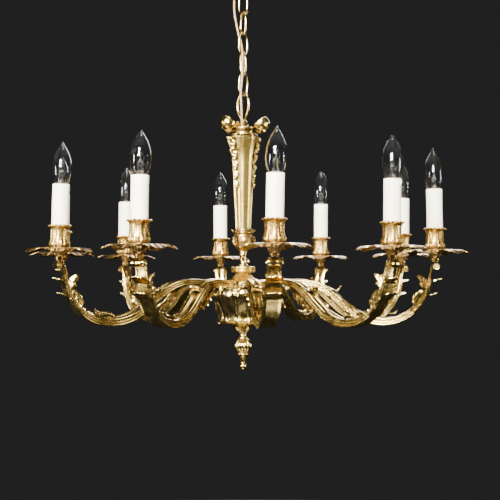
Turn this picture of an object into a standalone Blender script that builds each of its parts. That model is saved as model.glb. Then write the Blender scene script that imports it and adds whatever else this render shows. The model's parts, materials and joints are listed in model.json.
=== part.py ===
"""A gilt brass chandelier with ten candle lights, hung on a short chain from a ceiling rose.

Metres, +Z up. The origin is on the ceiling plate's top face, above the column's axis.
Heights are given from a datum level with the arms' inner ends, and DATUM_Z is where that
datum lies under the ceiling. The first arm points along -Y, and the others follow every
36 degrees.
"""

from math import cos, pi, radians, sin

import bmesh
import bpy
from mathutils import Matrix, Vector

DATUM_Z = -0.620  # the arms' datum, below the ceiling
ARMS = 10
ARM_STEP = 2 * pi / ARMS
LIGHT_R = 0.343  # column axis to candle axis
GAP = 0.0003  # between pieces that touch
ROD_R = 0.0040
BORE_R = 0.0043
ROUND_STEPS = 12  # sides of a small turned piece
WIDE_STEPS = 16  # sides of a wide turned piece
PANELS = 10  # flat sides of the basket
BASKET_TURN = radians(-7)  # the basket's panels stand a little round from the arms

# chain and suspension
WIRE_R = 0.0018
LINK_HALF_WIDTH = 0.0087  # to the wire's centre
LINK_LENGTH = 0.0410  # between the wire centres of its two ends
LINK_POWER = 2.4  # of the superellipse that a link follows
LINKS = 5
LINK_POINTS = 18
ODD_PLANE = radians(24)  # plane of links 1, 3 and 5
EVEN_PLANE = radians(114)  # plane of links 2 and 4, and of the hook
LOOP_PLANE = radians(129)
LOOP_WIRE_R = 0.0020
HOOK_WIRE_R = 0.0025
HOOK_BEND_R = 0.0090
HOOK_SEAT = 0.5403  # datum height of the wire's centre at the bottom of the hook

# lights
CAP_R = 0.0069
SOCKET_R = 0.0074
HOLDER_R = 0.0110
SLEEVE_R = 0.0140
SLEEVE_BORE_R = 0.0126
SLEEVE_FOOT = 0.0978
SLEEVE_TOP = 0.1796
PAN_R = 0.0580
ARM_START = 0.0475

# the flex, over the ceiling rose, down the chain's left side, through link 3 and into the crown
FLEX_R = 0.0020
FLEX_ROUTE = (
    (-0.0168, 0.0043, 0.5950),
    (-0.0168, 0.0043, 0.5800),
    (-0.0165, 0.0036, 0.5500),
    (-0.0162, 0.0034, 0.5270),
    (-0.0157, 0.0032, 0.5080),
    (-0.0127, 0.0033, 0.4890),
    (-0.0100, 0.0029, 0.4765),
    (-0.0070, 0.0025, 0.4636),
    (-0.0050, 0.0006, 0.4570),
    (-0.0040, -0.0018, 0.4505),
    (-0.0030, -0.0042, 0.4430),
    (-0.0023, -0.0062, 0.4350),
    (-0.0021, -0.0067, 0.4270),
    (-0.0021, -0.0067, 0.4110),
    (-0.0025, -0.0066, 0.3926),
    (-0.0046, -0.0079, 0.3740),
    (-0.0055, -0.0080, 0.3555),
    (-0.0047, -0.0090, 0.3350),
    (-0.0040, -0.0094, 0.3150),
    (-0.0038, -0.0096, 0.3030),
    (-0.0038, -0.0096, 0.2880),
)
FLEX_SPACING = 0.0105
FLEX_HOLE_R = 0.0027

MATERIALS = {
    "brass": ((0.80, 0.58, 0.26), 0.25, 1.0),
    "copper_gold": ((0.72, 0.42, 0.18), 0.35, 1.0),
    "golden_brass": ((0.83, 0.62, 0.20), 0.35, 1.0),
    "steel": ((0.55, 0.55, 0.55), 0.40, 1.0),
    "candle": ((0.93, 0.89, 0.76), 0.50, 0.0),
    "glass": ((0.90, 0.93, 0.94), 0.05, 0.0),
    "flex": ((0.50, 0.30, 0.17), 0.45, 0.0),
}


def clear_scene():
    for obj in list(bpy.data.objects):
        bpy.data.objects.remove(obj)


def material(name):
    found = bpy.data.materials.get(name)
    if found:
        return found
    colour, roughness, metallic = MATERIALS[name]
    made = bpy.data.materials.new(name)
    made.use_nodes = True
    shader = made.node_tree.nodes["Principled BSDF"]
    shader.inputs["Base Color"].default_value = (*colour, 1.0)
    shader.inputs["Roughness"].default_value = roughness
    shader.inputs["Metallic"].default_value = metallic
    return made


def collection(name, hidden=False):
    made = bpy.data.collections.new(name)
    made.hide_render = hidden
    bpy.context.scene.collection.children.link(made)
    return made


def add(name, data, finish, into):
    """A new object of this data in a collection, with its material."""
    obj = bpy.data.objects.new(name, data)
    into.objects.link(obj)
    if finish:
        data.materials.append(material(finish))
    return obj


def smooth(mesh, angle=40):
    mesh.shade_smooth()
    mesh.set_sharp_from_angle(angle=radians(angle))


def profile_mesh(name, outline, closed):
    """An outline of (radius, datum height) points as a strip of edges in the XZ plane."""
    work = bmesh.new()
    points = [work.verts.new((r, 0.0, z)) for r, z in outline]
    pairs = list(zip(points, points[1:]))
    if closed:
        pairs.append((points[-1], points[0]))
    for pair in pairs:
        work.edges.new(pair)
    mesh = bpy.data.meshes.new(name)
    work.to_mesh(mesh)
    work.free()
    return mesh


def turned(name, outline, steps, finish, into, closed=False, mesh=None):
    """A piece turned about the column's axis. A closed outline leaves a bore in the middle."""
    obj = add(name, mesh or profile_mesh(name, outline, closed), finish, into)
    obj.location.z = DATUM_Z
    screw = obj.modifiers.new("turn", "SCREW")
    screw.steps = screw.render_steps = steps
    screw.use_merge_vertices = True
    screw.merge_threshold = 0.00005
    screw.use_smooth_shade = steps > PANELS
    return obj


def bored(outer, inner):
    """A closed outline from the outer side, top to bottom, and the inner side, top to bottom."""
    return list(outer) + list(reversed(inner))


def plain_bore(top, bottom):
    return [(BORE_R, top), (BORE_R, bottom)]


def wire(name, points, radius, finish, into, cyclic=False):
    """A round wire along points, a POLY curve with filled caps, or a ring."""
    curve = bpy.data.curves.new(name, "CURVE")
    curve.dimensions = "3D"
    curve.bevel_depth = radius
    curve.bevel_resolution = 2
    curve.use_fill_caps = not cyclic
    spline = curve.splines.new("POLY")
    spline.points.add(len(points) - 1)
    for place, point in zip(spline.points, points):
        place.co = (*point, 1.0)
    spline.use_cyclic_u = cyclic
    return add(name, curve, finish, into)


def as_mesh(obj):
    """The object of a curve replaced by one of a closed mesh, so that it can be cut or joined."""
    bpy.context.view_layer.update()
    graph = bpy.context.evaluated_depsgraph_get()
    mesh = bpy.data.meshes.new_from_object(obj.evaluated_get(graph))
    work = bmesh.new()
    work.from_mesh(mesh)
    bmesh.ops.remove_doubles(work, verts=work.verts, dist=0.00001)
    work.to_mesh(mesh)
    work.free()
    name, home = obj.name, obj.users_collection[0]
    place = obj.matrix_world.copy()
    bpy.data.objects.remove(obj)
    made = add(name, mesh, None, home)
    made.matrix_world = place
    return made


def boolean(obj, other, operation):
    modifier = obj.modifiers.new(operation.lower(), "BOOLEAN")
    modifier.operation = operation
    modifier.object = other
    other.hide_render = True
    other.display_type = "WIRE"


def cylinder(name, radius, low, high, at, into, steps=ROUND_STEPS):
    """An upright cylinder between two datum heights."""
    work = bmesh.new()
    bmesh.ops.create_cone(
        work, cap_ends=True, segments=steps, radius1=radius, radius2=radius, depth=high - low
    )
    mesh = bpy.data.meshes.new(name)
    work.to_mesh(mesh)
    work.free()
    obj = add(name, mesh, None, into)
    obj.location = (at[0], at[1], DATUM_Z + (low + high) / 2)
    return obj


def smooth_route(points, spacing):
    """Points about every spacing along a Catmull-Rom curve through the given ones."""
    points = [Vector(p) for p in points]
    ends = [2 * points[0] - points[1]] + points + [2 * points[-1] - points[-2]]
    found = [points[0]]
    for a, b, c, d in zip(ends, ends[1:], ends[2:], ends[3:]):
        count = max(1, round((c - b).length / spacing))
        for i in range(1, count + 1):
            t = i / count
            square = (2 * a - 5 * b + 4 * c - d) * t**2
            cube = (3 * b - a - 3 * c + d) * t**3
            found.append(0.5 * (2 * b + (c - a) * t + square + cube))
    return found


def in_plane(across, height, plane):
    """A point at a distance across the column's axis in an upright plane at this angle."""
    return Vector((across * cos(plane), across * sin(plane), DATUM_Z + height))


# ceiling fitting


def ceiling_plate(parts, cutters):
    thick, boss = 0.0050, 0.0130
    face = -DATUM_Z
    outline = [
        (0.0, face), (0.030, face), (0.030, face - thick), (0.009, face - thick), (0.009, face - boss),
        (HOOK_WIRE_R + GAP, face - boss), (HOOK_WIRE_R + GAP, face - 0.003), (0.0, face - 0.003),
    ]
    plate = turned("ceiling_plate", outline, WIDE_STEPS, "steel", parts)
    screw_r, screw_across = 0.0025, 0.021
    low, high = face - 0.01, face + 0.01
    for i, across in enumerate((-screw_across, screw_across)):
        hole = cylinder(f"plate_screw_hole_{i + 1}", screw_r, low, high, (across, 0.0), cutters)
        boolean(plate, hole, "DIFFERENCE")


def ceiling_hook(parts):
    centre = HOOK_SEAT + HOOK_BEND_R
    bend = [radians(40 - 20 * i) for i in range(14)]
    points = [in_plane(HOOK_BEND_R * cos(a), centre + HOOK_BEND_R * sin(a), EVEN_PLANE) for a in bend]
    shank = [(-0.0018, centre + 0.0110), (0.0, centre + 0.0145), (0.0, -DATUM_Z - 0.0040)]
    points += [in_plane(across, height, EVEN_PLANE) for across, height in shank]
    wire("ceiling_hook", points, HOOK_WIRE_R, "brass", parts)


def ceiling_canopy(parts, cutters):
    wall = 0.0016
    bore = 0.0032
    outer = [(0.0550, 0.6193), (0.0545, 0.6140), (0.0490, 0.6070), (0.0370, 0.5990),
             (0.0240, 0.5900), (0.0170, 0.5810), (0.0120, 0.5762), (bore, 0.5758)]
    inner = [(r - wall * 0.8, z + wall * 0.7) for r, z in outer[1:-1]]
    inner = [(outer[0][0] - wall, outer[0][1])] + inner + [(bore, 0.5758 + wall)]
    canopy = turned("ceiling_canopy", bored(outer, inner), WIDE_STEPS, "brass", parts, closed=True)
    at = FLEX_ROUTE[0]
    hole = cylinder("canopy_flex_hole", FLEX_HOLE_R, 0.570, 0.592, at, cutters)
    boolean(canopy, hole, "DIFFERENCE")


def canopy_collar(parts):
    bore = HOOK_WIRE_R + GAP
    outer = [(0.0060, 0.5754), (0.0075, 0.5740), (0.0075, 0.5705), (0.0055, 0.5682)]
    inner = [(bore, 0.5754), (bore, 0.5682)]
    turned("canopy_collar", bored(outer, inner), ROUND_STEPS, "brass", parts, closed=True)


# chain


def link_seats():
    """Datum heights of each link's lower wire centre, from the first link down."""
    first = HOOK_SEAT + HOOK_WIRE_R + WIRE_R + GAP - LINK_LENGTH
    pitch = LINK_LENGTH - 2 * WIRE_R - GAP
    return [first - pitch * i for i in range(LINKS)]


def superellipse(angle, half_width, half_height):
    c, s = cos(angle), sin(angle)
    across = half_width * abs(c) ** (2 / LINK_POWER) * (1 if c > 0 else -1)
    up = half_height * abs(s) ** (2 / LINK_POWER) * (1 if s > 0 else -1)
    return across, up


def chain(parts):
    for i, seat in enumerate(link_seats()):
        plane = ODD_PLANE if i % 2 == 0 else EVEN_PLANE
        centre = seat + LINK_LENGTH / 2
        points = []
        for step in range(LINK_POINTS):
            across, up = superellipse(2 * pi * step / LINK_POINTS, LINK_HALF_WIDTH, LINK_LENGTH / 2)
            points.append(in_plane(across, centre + up, plane))
        wire(f"chain_link_{i + 1}", points, WIRE_R, "brass", parts, cyclic=True)


def hanging_loop(parts, cutters):
    half = [(0.0036, 0.3075), (0.0050, 0.3125), (0.0085, 0.3190), (0.0125, 0.3275),
            (0.0140, 0.3375), (0.0123, 0.3475), (0.0070, 0.3560)]
    top = link_seats()[-1] + WIRE_R + LOOP_WIRE_R + GAP
    route = [(-across, height) for across, height in half] + [(0.0, top)] + list(reversed(half))
    points = [in_plane(across, height, LOOP_PLANE) for across, height in route]
    ring = as_mesh(wire("loop_ring", points, LOOP_WIRE_R, "brass", cutters))
    outline = [
        (0.0, 0.3106), (0.0062, 0.3102), (0.0070, 0.3088), (0.0070, 0.3022), (0.0060, 0.3006),
        (BORE_R, 0.3006), (BORE_R, 0.3042), (0.0, 0.3042),
    ]
    nut = turned("hanging_loop", outline, ROUND_STEPS, "brass", parts)
    boolean(nut, ring, "UNION")


def supply_flex(parts):
    points = [Vector((x, y, DATUM_Z + z)) for x, y, z in FLEX_ROUTE]
    wire("supply_flex", smooth_route(points, FLEX_SPACING), FLEX_R, "flex", parts)


# centre column


def tie_rod(parts):
    outline = [(0.0, 0.3035), (ROD_R, 0.3035), (ROD_R, -0.0900), (0.0, -0.0900)]
    turned("tie_rod", outline, ROUND_STEPS, "steel", parts)


def crown(parts, cutters):
    outer = [(0.0070, 0.3003), (0.0073, 0.2935), (0.0225, 0.2935), (0.0250, 0.2950), (0.0265, 0.2945),
             (0.0255, 0.2910), (0.0215, 0.2850), (0.0205, 0.2798)]
    ring = turned(
        "crown", bored(outer, plain_bore(0.3003, 0.2798)), WIDE_STEPS, "brass", parts, closed=True
    )
    lobe_size = (0.0150, 0.0162, 0.0155)
    lobe_cut = -0.25  # where the lobe's inner side is flat, as a share of its depth
    lobe_angles = [radians(a) for a in (211, 331, 91)]
    for i, angle in enumerate(lobe_angles):
        work = bmesh.new()
        bmesh.ops.create_uvsphere(work, u_segments=10, v_segments=6, radius=1.0)
        for vert in work.verts:
            vert.co.x = max(vert.co.x, lobe_cut)
        bmesh.ops.scale(work, vec=lobe_size, verts=work.verts)
        mesh = bpy.data.meshes.new(f"crown_lobe_{i + 1}")
        bmesh.ops.recalc_face_normals(work, faces=work.faces)
        work.to_mesh(mesh)
        work.free()
        lobe = add(f"crown_lobe_{i + 1}", mesh, None, cutters)
        tilt = Matrix.Rotation(radians(43), 4, "Y")
        place = Matrix.Translation((0.0352, 0.0, DATUM_Z + 0.3022))
        lobe.matrix_world = Matrix.Rotation(angle, 4, "Z") @ place @ tilt
        boolean(ring, lobe, "UNION")
    at = FLEX_ROUTE[-1]
    hole = cylinder("crown_flex_hole", FLEX_HOLE_R, 0.2860, 0.3020, at, cutters)
    boolean(ring, hole, "DIFFERENCE")


def stem(parts):
    """Three broad ribs with shallow grooves between them, round a bore."""
    levels = (
        (0.1075, 0.0137, 0.00), (0.1450, 0.0155, 0.03), (0.1830, 0.0176, 0.06), (0.2100, 0.0190, 0.09),
        (0.2370, 0.0208, 0.12), (0.2550, 0.0236, 0.14), (0.2660, 0.0268, 0.15), (0.2795, 0.0300, 0.10),
    )
    sides = 24
    rib_angle = radians(279)  # of the middle of one rib
    work = bmesh.new()
    rings, bores = [], []
    for height, radius, groove in levels:
        ring, bore = [], []
        for i in range(sides):
            angle = 2 * pi * i / sides
            depth = max(0.0, -cos(3 * (angle - rib_angle))) * groove
            r = radius * (1 - depth)
            ring.append(work.verts.new((r * cos(angle), r * sin(angle), height)))
            bore.append(work.verts.new((BORE_R * cos(angle), BORE_R * sin(angle), height)))
        rings.append(ring)
        bores.append(bore)
    for i in range(sides):
        j = (i + 1) % sides
        for low, high in zip(rings, rings[1:]):
            work.faces.new((low[i], low[j], high[j], high[i]))
        work.faces.new((bores[0][j], bores[0][i], bores[-1][i], bores[-1][j]))
        work.faces.new((rings[0][j], rings[0][i], bores[0][i], bores[0][j]))
        work.faces.new((rings[-1][i], rings[-1][j], bores[-1][j], bores[-1][i]))
    unused = [v for v in work.verts if not v.link_faces]
    bmesh.ops.delete(work, geom=unused, context="VERTS")
    mesh = bpy.data.meshes.new("stem")
    work.to_mesh(mesh)
    work.free()
    smooth(mesh)
    add("stem", mesh, "brass", parts).location.z = DATUM_Z


def column_turnings(parts):
    knop = [(0.0150, 0.1072), (0.0185, 0.1066), (0.0185, 0.1044), (0.0157, 0.1022), (0.0182, 0.0970),
            (0.0193, 0.0900), (0.0178, 0.0835), (0.0120, 0.0770), (0.0080, 0.0728)]
    spindle = [(0.0065, 0.0725), (0.0076, 0.0714), (0.0073, 0.0660), (0.0061, 0.0615), (0.0058, 0.0555),
               (0.0062, 0.0510), (0.0092, 0.0470), (0.0090, 0.0447)]
    bell = [(0.0200, 0.0444), (0.0220, 0.0425), (0.0220, 0.0360), (0.0200, 0.0345), (0.0125, 0.0335),
            (0.0135, 0.0300), (0.0180, 0.0250), (0.0250, 0.0205), (0.0300, 0.0178)]
    turnings = (
        ("stem_knop", knop, ROUND_STEPS, "brass"),
        ("spindle", spindle, ROUND_STEPS, "brass"),
        ("bell_cover", bell, WIDE_STEPS, "golden_brass"),
    )
    for name, outer, steps, finish in turnings:
        inner = plain_bore(outer[0][1], outer[-1][1])
        turned(name, bored(outer, inner), steps, finish, parts, closed=True)


def arm_hub(parts):
    outer = [(0.0440, 0.0175), (0.0471, 0.0160), (0.0471, 0.0045), (0.0440, 0.0035)]
    inner = plain_bore(0.0175, 0.0035)
    turned("arm_hub", bored(outer, inner), WIDE_STEPS, "brass", parts, closed=True)


def basket(parts):
    """A thin bowl of ten flat panels whose foot curls out, with the small leaf bowl under it."""
    outer = [(0.0500, 0.0032), (0.0530, -0.0060), (0.0475, -0.0230), (0.0405, -0.0410),
             (0.0382, -0.0495), (0.0455, -0.0570), (0.0440, -0.0592), (0.0330, -0.0584),
             (0.0230, -0.0606), (0.0168, -0.0652), (0.0128, -0.0702), (0.0120, -0.0722),
             (BORE_R, -0.0722)]
    inner = [(0.0478, 0.0032), (0.0506, -0.0062), (0.0450, -0.0235), (0.0382, -0.0410),
             (0.0358, -0.0500), (0.0330, -0.0555), (0.0215, -0.0578), (0.0150, -0.0622),
             (0.0106, -0.0668), (BORE_R, -0.0686)]
    made = turned("basket", bored(outer, inner), PANELS, "brass", parts, closed=True)
    made.rotation_euler.z = -pi / 2 + ARM_STEP / 2 + BASKET_TURN


def finial(parts):
    bore = [(0.0, -0.0910), (BORE_R, -0.0910), (BORE_R, -0.0725)]
    outer = [
        (0.0075, -0.0725), (0.0063, -0.0780), (0.0075, -0.0840), (0.0070, -0.0858), (0.0130, -0.0900),
        (0.0155, -0.0980), (0.0132, -0.1060), (0.0085, -0.1108), (0.0100, -0.1132), (0.0100, -0.1155),
        (0.0074, -0.1175), (0.0052, -0.1245), (0.0042, -0.1285), (0.0067, -0.1345), (0.0052, -0.1402),
        (0.0, -0.1426),
    ]
    turned("finial", bore + outer, ROUND_STEPS, "brass", parts)


# lights


def arm_path():
    """(distance out, datum height, thickness, width) along an arm: arch, U and volute."""
    path = [
        (ARM_START, 0.0105, 0.0125, 0.020), (0.0640, 0.0130, 0.0110, 0.020), (0.0850, 0.0156, 0.0105, 0.021),
        (0.1060, 0.0160, 0.0105, 0.022), (0.1280, 0.0128, 0.0110, 0.023), (0.1470, 0.0045, 0.0120, 0.024),
        (0.1660, -0.0090, 0.0130, 0.025), (0.1860, -0.0262, 0.0138, 0.026), (0.2080, -0.0420, 0.0142, 0.027),
        (0.2320, -0.0510, 0.0142, 0.027), (0.2560, -0.0530, 0.0140, 0.027), (0.2800, -0.0485, 0.0130, 0.027),
        (0.3000, -0.0380, 0.0110, 0.026), (0.3150, -0.0230, 0.0090, 0.025), (0.3260, -0.0040, 0.0070, 0.024),
        (0.3320, 0.0130, 0.0058, 0.022), (0.3345, 0.0290, 0.0050, 0.021),
    ]
    centre_out, centre_up = 0.3455, 0.0430
    turns = 9
    for i in range(turns):
        angle = radians(175 - 36 * i)
        r = 0.0068 - 0.0003 * i
        path.append((centre_out + r * cos(angle), centre_up + r * sin(angle), 0.0042, 0.0255))
    return path


def arm_mesh():
    """A chamfered strip swept along the arm's path, pointing along +X."""
    path = arm_path()
    work = bmesh.new()
    rings = []
    for i, (out, up, thick, width) in enumerate(path):
        before, after = path[max(i - 1, 0)], path[min(i + 1, len(path) - 1)]
        along = Vector((after[0] - before[0], 0.0, after[1] - before[1])).normalized()
        if i == 0:
            along = Vector((1.0, 0.0, 0.0))
        over = Vector((-along.z, 0.0, along.x))
        t, w = thick / 2, width / 2
        chamfer = 0.35 * t
        corners = [
            (w, t - chamfer), (w - chamfer, t), (-w + chamfer, t), (-w, t - chamfer),
            (-w, -t + chamfer), (-w + chamfer, -t), (w - chamfer, -t), (w, -t + chamfer),
        ]
        ring = [work.verts.new(Vector((out, side, up)) + over * high) for side, high in corners]
        rings.append(ring)
    sides = len(rings[0])
    for low, high in zip(rings, rings[1:]):
        for i in range(sides):
            j = (i + 1) % sides
            work.faces.new((low[i], low[j], high[j], high[i]))
    work.faces.new(list(reversed(rings[0])))
    work.faces.new(rings[-1])
    bmesh.ops.recalc_face_normals(work, faces=work.faces)
    mesh = bpy.data.meshes.new("arm")
    work.to_mesh(mesh)
    work.free()
    smooth(mesh)
    mesh.materials.append(material("brass"))
    return mesh


def pan_outline():
    """The drip pan, candle cup and lampholder post: up the socket's bore, then down outside."""
    return [
        (0.0, 0.1510), (SOCKET_R, 0.1510), (SOCKET_R, 0.1755), (HOLDER_R, 0.1755), (HOLDER_R, 0.0975),
        (0.0144, 0.0975), (0.0144, 0.1040), (0.0172, 0.1096), (0.0183, 0.1086), (0.0156, 0.1000),
        (0.0148, 0.0900), (0.0155, 0.0800), (0.0160, 0.0728), (0.0500, 0.0722), (PAN_R, 0.0680),
        (0.0573, 0.0664), (0.0495, 0.0704), (0.0130, 0.0700), (0.0115, 0.0615), (0.0063, 0.0517),
        (0.0, 0.0517),
    ]


def bulb_outline():
    return [
        (0.0, 0.2510), (0.0034, 0.2488), (0.0083, 0.2400), (0.0134, 0.2290), (0.0166, 0.2160),
        (0.0175, 0.2040), (0.0157, 0.1920), (0.0108, 0.1805), (CAP_R, 0.1775), (CAP_R, 0.1565),
        (0.0030, 0.1530), (0.0, 0.1530),
    ]


def lights(parts):
    arm_shape = arm_mesh()
    pan_shape = profile_mesh("drip_pan", pan_outline(), False)
    sleeve_outer = [(SLEEVE_R, SLEEVE_TOP), (SLEEVE_R, SLEEVE_FOOT)]
    sleeve_inner = [(SLEEVE_BORE_R, SLEEVE_TOP), (SLEEVE_BORE_R, SLEEVE_FOOT)]
    sleeve_shape = profile_mesh("candle_sleeve", bored(sleeve_outer, sleeve_inner), True)
    bulb_shape = profile_mesh("bulb", bulb_outline(), False)
    shapes = {
        "drip_pan": (pan_shape, "copper_gold"),
        "candle_sleeve": (sleeve_shape, "candle"),
        "bulb": (bulb_shape, "glass"),
    }
    for shape, finish in shapes.values():
        shape.materials.append(material(finish))
    for i in range(ARMS):
        angle = -pi / 2 + ARM_STEP * i
        arm = add(f"arm_{i + 1}", arm_shape, None, parts)
        arm.location.z = DATUM_Z
        arm.rotation_euler.z = angle
        for name, (shape, _) in shapes.items():
            piece = turned(f"{name}_{i + 1}", None, ROUND_STEPS, None, parts, mesh=shape)
            piece.location = (LIGHT_R * cos(angle), LIGHT_R * sin(angle), DATUM_Z)
            piece.rotation_euler.z = angle


def main():
    clear_scene()
    parts = collection("chandelier")
    cutters = collection("cutters", hidden=True)
    ceiling_plate(parts, cutters)
    ceiling_hook(parts)
    ceiling_canopy(parts, cutters)
    canopy_collar(parts)
    chain(parts)
    hanging_loop(parts, cutters)
    supply_flex(parts)
    tie_rod(parts)
    crown(parts, cutters)
    stem(parts)
    column_turnings(parts)
    arm_hub(parts)
    basket(parts)
    finial(parts)
    lights(parts)


main()
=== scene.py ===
"""Looks of a gilt brass chandelier: chased leaf work, cream candle sleeves and clear bulbs."""

import json
from math import cos, pi, radians, sin

import bmesh
import bpy
import numpy as np
from mathutils import Matrix, Vector


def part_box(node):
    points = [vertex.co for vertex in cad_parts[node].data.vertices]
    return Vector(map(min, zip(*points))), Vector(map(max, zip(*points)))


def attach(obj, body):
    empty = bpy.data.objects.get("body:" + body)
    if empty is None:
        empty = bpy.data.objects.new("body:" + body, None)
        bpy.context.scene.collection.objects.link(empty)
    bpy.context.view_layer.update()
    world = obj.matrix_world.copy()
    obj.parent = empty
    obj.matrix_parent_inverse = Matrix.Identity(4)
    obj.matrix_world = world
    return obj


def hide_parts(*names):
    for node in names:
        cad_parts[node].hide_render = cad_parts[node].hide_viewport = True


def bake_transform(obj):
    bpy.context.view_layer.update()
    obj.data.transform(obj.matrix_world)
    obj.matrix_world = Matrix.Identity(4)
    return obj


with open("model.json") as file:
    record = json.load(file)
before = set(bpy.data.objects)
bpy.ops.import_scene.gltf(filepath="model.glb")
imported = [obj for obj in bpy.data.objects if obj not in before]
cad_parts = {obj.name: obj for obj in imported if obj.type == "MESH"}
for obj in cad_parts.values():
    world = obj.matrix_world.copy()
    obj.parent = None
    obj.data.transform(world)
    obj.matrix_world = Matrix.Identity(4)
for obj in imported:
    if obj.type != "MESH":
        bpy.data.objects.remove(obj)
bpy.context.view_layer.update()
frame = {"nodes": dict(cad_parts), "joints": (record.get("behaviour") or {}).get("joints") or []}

ARMS = 10
ARM_STEP = 2 * pi / ARMS
HUB_LOW, HUB_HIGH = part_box("arm_hub")
HUB_FOOT = 0.0035
DATUM_Z = HUB_LOW.z - HUB_FOOT  # the level that the heights below are given from
BORE_R = 0.0043  # the tie rod's bore, through every piece of the column
SLEEVE_LOW, SLEEVE_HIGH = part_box("candle_sleeve_1")
LIGHT_R = -(SLEEVE_LOW.y + SLEEVE_HIGH.y) / 2
SLEEVE_FOOT, SLEEVE_TOP = SLEEVE_LOW.z - DATUM_Z, SLEEVE_HIGH.z - DATUM_Z
SLEEVE_R = (SLEEVE_HIGH.x - SLEEVE_LOW.x) / 2
RIB_ANGLES = [radians(a) for a in (279, 39, 159)]  # middles of the stem's three ribs
VALLEY_ANGLES = [radians(a) for a in (219, 339, 99)]  # middles of the valleys between the ribs
LOBE_ANGLES = [radians(a) for a in (211, 331, 91)]  # the crown's shells
ODD_PLANE, EVEN_PLANE, LOOP_PLANE = radians(24), radians(114), radians(129)
FLEX_R = 0.0020
FLEX_ROUTE = (
    (-0.0168, 0.0043, 0.5950), (-0.0168, 0.0043, 0.5800), (-0.0165, 0.0036, 0.5500),
    (-0.0162, 0.0034, 0.5270), (-0.0157, 0.0032, 0.5080), (-0.0127, 0.0033, 0.4890),
    (-0.0100, 0.0029, 0.4765), (-0.0070, 0.0025, 0.4636), (-0.0050, 0.0006, 0.4570),
    (-0.0040, -0.0018, 0.4505), (-0.0030, -0.0042, 0.4430), (-0.0023, -0.0062, 0.4350),
    (-0.0021, -0.0067, 0.4270), (-0.0021, -0.0067, 0.4110), (-0.0025, -0.0066, 0.3926),
    (-0.0046, -0.0079, 0.3740), (-0.0055, -0.0080, 0.3555), (-0.0047, -0.0090, 0.3350),
    (-0.0040, -0.0094, 0.3150), (-0.0038, -0.0096, 0.3030), (-0.0038, -0.0096, 0.2880),
)


# geometry: a shape is (points, faces), in metres


def spline(points, per):
    """Catmull-Rom samples, per of them to a span. A point given twice makes a corner."""
    points = np.array(points, float)
    runs, run = [], [points[0]]
    for before, point in zip(points, points[1:]):
        if np.allclose(before, point):
            runs.append(run)
            run = []
        run.append(point)
    runs.append(run)
    found = []
    t = np.linspace(0, 1, per, endpoint=False)[:, None]
    for run in map(np.array, runs):
        if len(run) > 1:
            ends = np.vstack([2 * run[0] - run[1], run, 2 * run[-1] - run[-2]])
            for a, b, c, d in zip(ends, ends[1:], ends[2:], ends[3:]):
                bend = (2 * a - 5 * b + 4 * c - d) * t**2
                found.append(0.5 * (2 * b + (c - a) * t + bend + (3 * b - a - 3 * c + d) * t**3))
        found.append(run[-1:])
    return np.vstack(found)


def grid_faces(rows, columns, wrap_rows=False, wrap_columns=False):
    i, j = np.meshgrid(
        np.arange(rows - (not wrap_rows)), np.arange(columns - (not wrap_columns)), indexing="ij"
    )
    below, right = (i + 1) % rows, (j + 1) % columns
    corners = (i * columns + j, i * columns + right, below * columns + right, below * columns + j)
    return np.stack(corners, -1).reshape(-1, 4).tolist()


def unit(vectors):
    return vectors / np.maximum(np.linalg.norm(vectors, axis=-1, keepdims=True), 1e-12)


def ramp(value, start, width):
    """0 until start, then up to 1 over width. With a negative width it rises the other way."""
    return np.clip((value - start) / width, 0, 1)


def ridge(value, middle, width, power=2):
    """A smooth bump of height 1 about middle."""
    return np.exp(-(((value - middle) / width) ** power))


def joined(*shapes):
    points, faces, start = [], [], 0
    for part, its_faces in shapes:
        points.append(part)
        faces += [[start + i for i in face] for face in its_faces]
        start += len(part)
    return np.vstack(points), faces


def moved(shape, matrix):
    m = np.array(matrix)
    return shape[0] @ m[:3, :3].T + m[:3, 3], shape[1]


def turned_copies(shape, angles):
    return joined(*(moved(shape, Matrix.Rotation(a, 4, "Z")) for a in angles))


def shell(grid, thick, wrap=False):
    """A closed sheet about a grid of points. Wrap joins its last column to its first."""
    rows, columns = grid.shape[:2]
    down = np.gradient(grid, axis=0)
    across = np.roll(grid, -1, 1) - np.roll(grid, 1, 1) if wrap else np.gradient(grid, axis=1)
    offset = unit(np.cross(down, across)) * thick / 2
    points = np.vstack([(grid + offset).reshape(-1, 3), (grid - offset).reshape(-1, 3)])
    count = rows * columns
    front = grid_faces(rows, columns, wrap_columns=wrap)
    faces = front + [[i + count for i in reversed(face)] for face in front]
    index = np.arange(count).reshape(rows, columns)
    rims = [index[0], index[-1]] if wrap else [index[0], index[-1], index[:, 0], index[:, -1]]
    for rim in rims:
        rim = [int(i) for i in rim] + ([int(rim[0])] if wrap else [])
        faces += [[a, b, b + count, a + count] for a, b in zip(rim, rim[1:])]
    return points, faces


def lathe(outline, steps, ripple=None, closed=False):
    """(radius, height) points turned about Z, each moved by ripple(angle, radius, height)."""
    outline = np.array(outline, float)
    angle = np.arange(steps) * 2 * pi / steps
    around, radius = np.meshgrid(angle, outline[:, 0])
    height = np.repeat(outline[:, 1:], steps, axis=1)
    if ripple:
        radius, height = ripple(around, radius, height)
    grid = np.stack([radius * np.cos(around), radius * np.sin(around), height], -1)
    return grid.reshape(-1, 3), grid_faces(len(outline), steps, closed, True)


def sweep(path, section, side, size=1.0):
    """A section of (across, over) points along a path that lies square to the direction side."""
    path, section = np.array(path, float), np.array(section, float)
    side = np.array(side, float)
    over = unit(np.cross(np.gradient(path, axis=0), side))
    size = np.broadcast_to(np.array(size, float), (len(path), 2)) if np.ndim(size) < 2 else size
    across = section[None, :, :1] * size[:, None, :1] * side
    rings = path[:, None] + across + section[None, :, 1:] * size[:, None, 1:] * over[:, None]
    rows, columns = rings.shape[:2]
    return rings.reshape(-1, 3), grid_faces(rows, columns, False, True) + end_faces(rows, columns)


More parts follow.
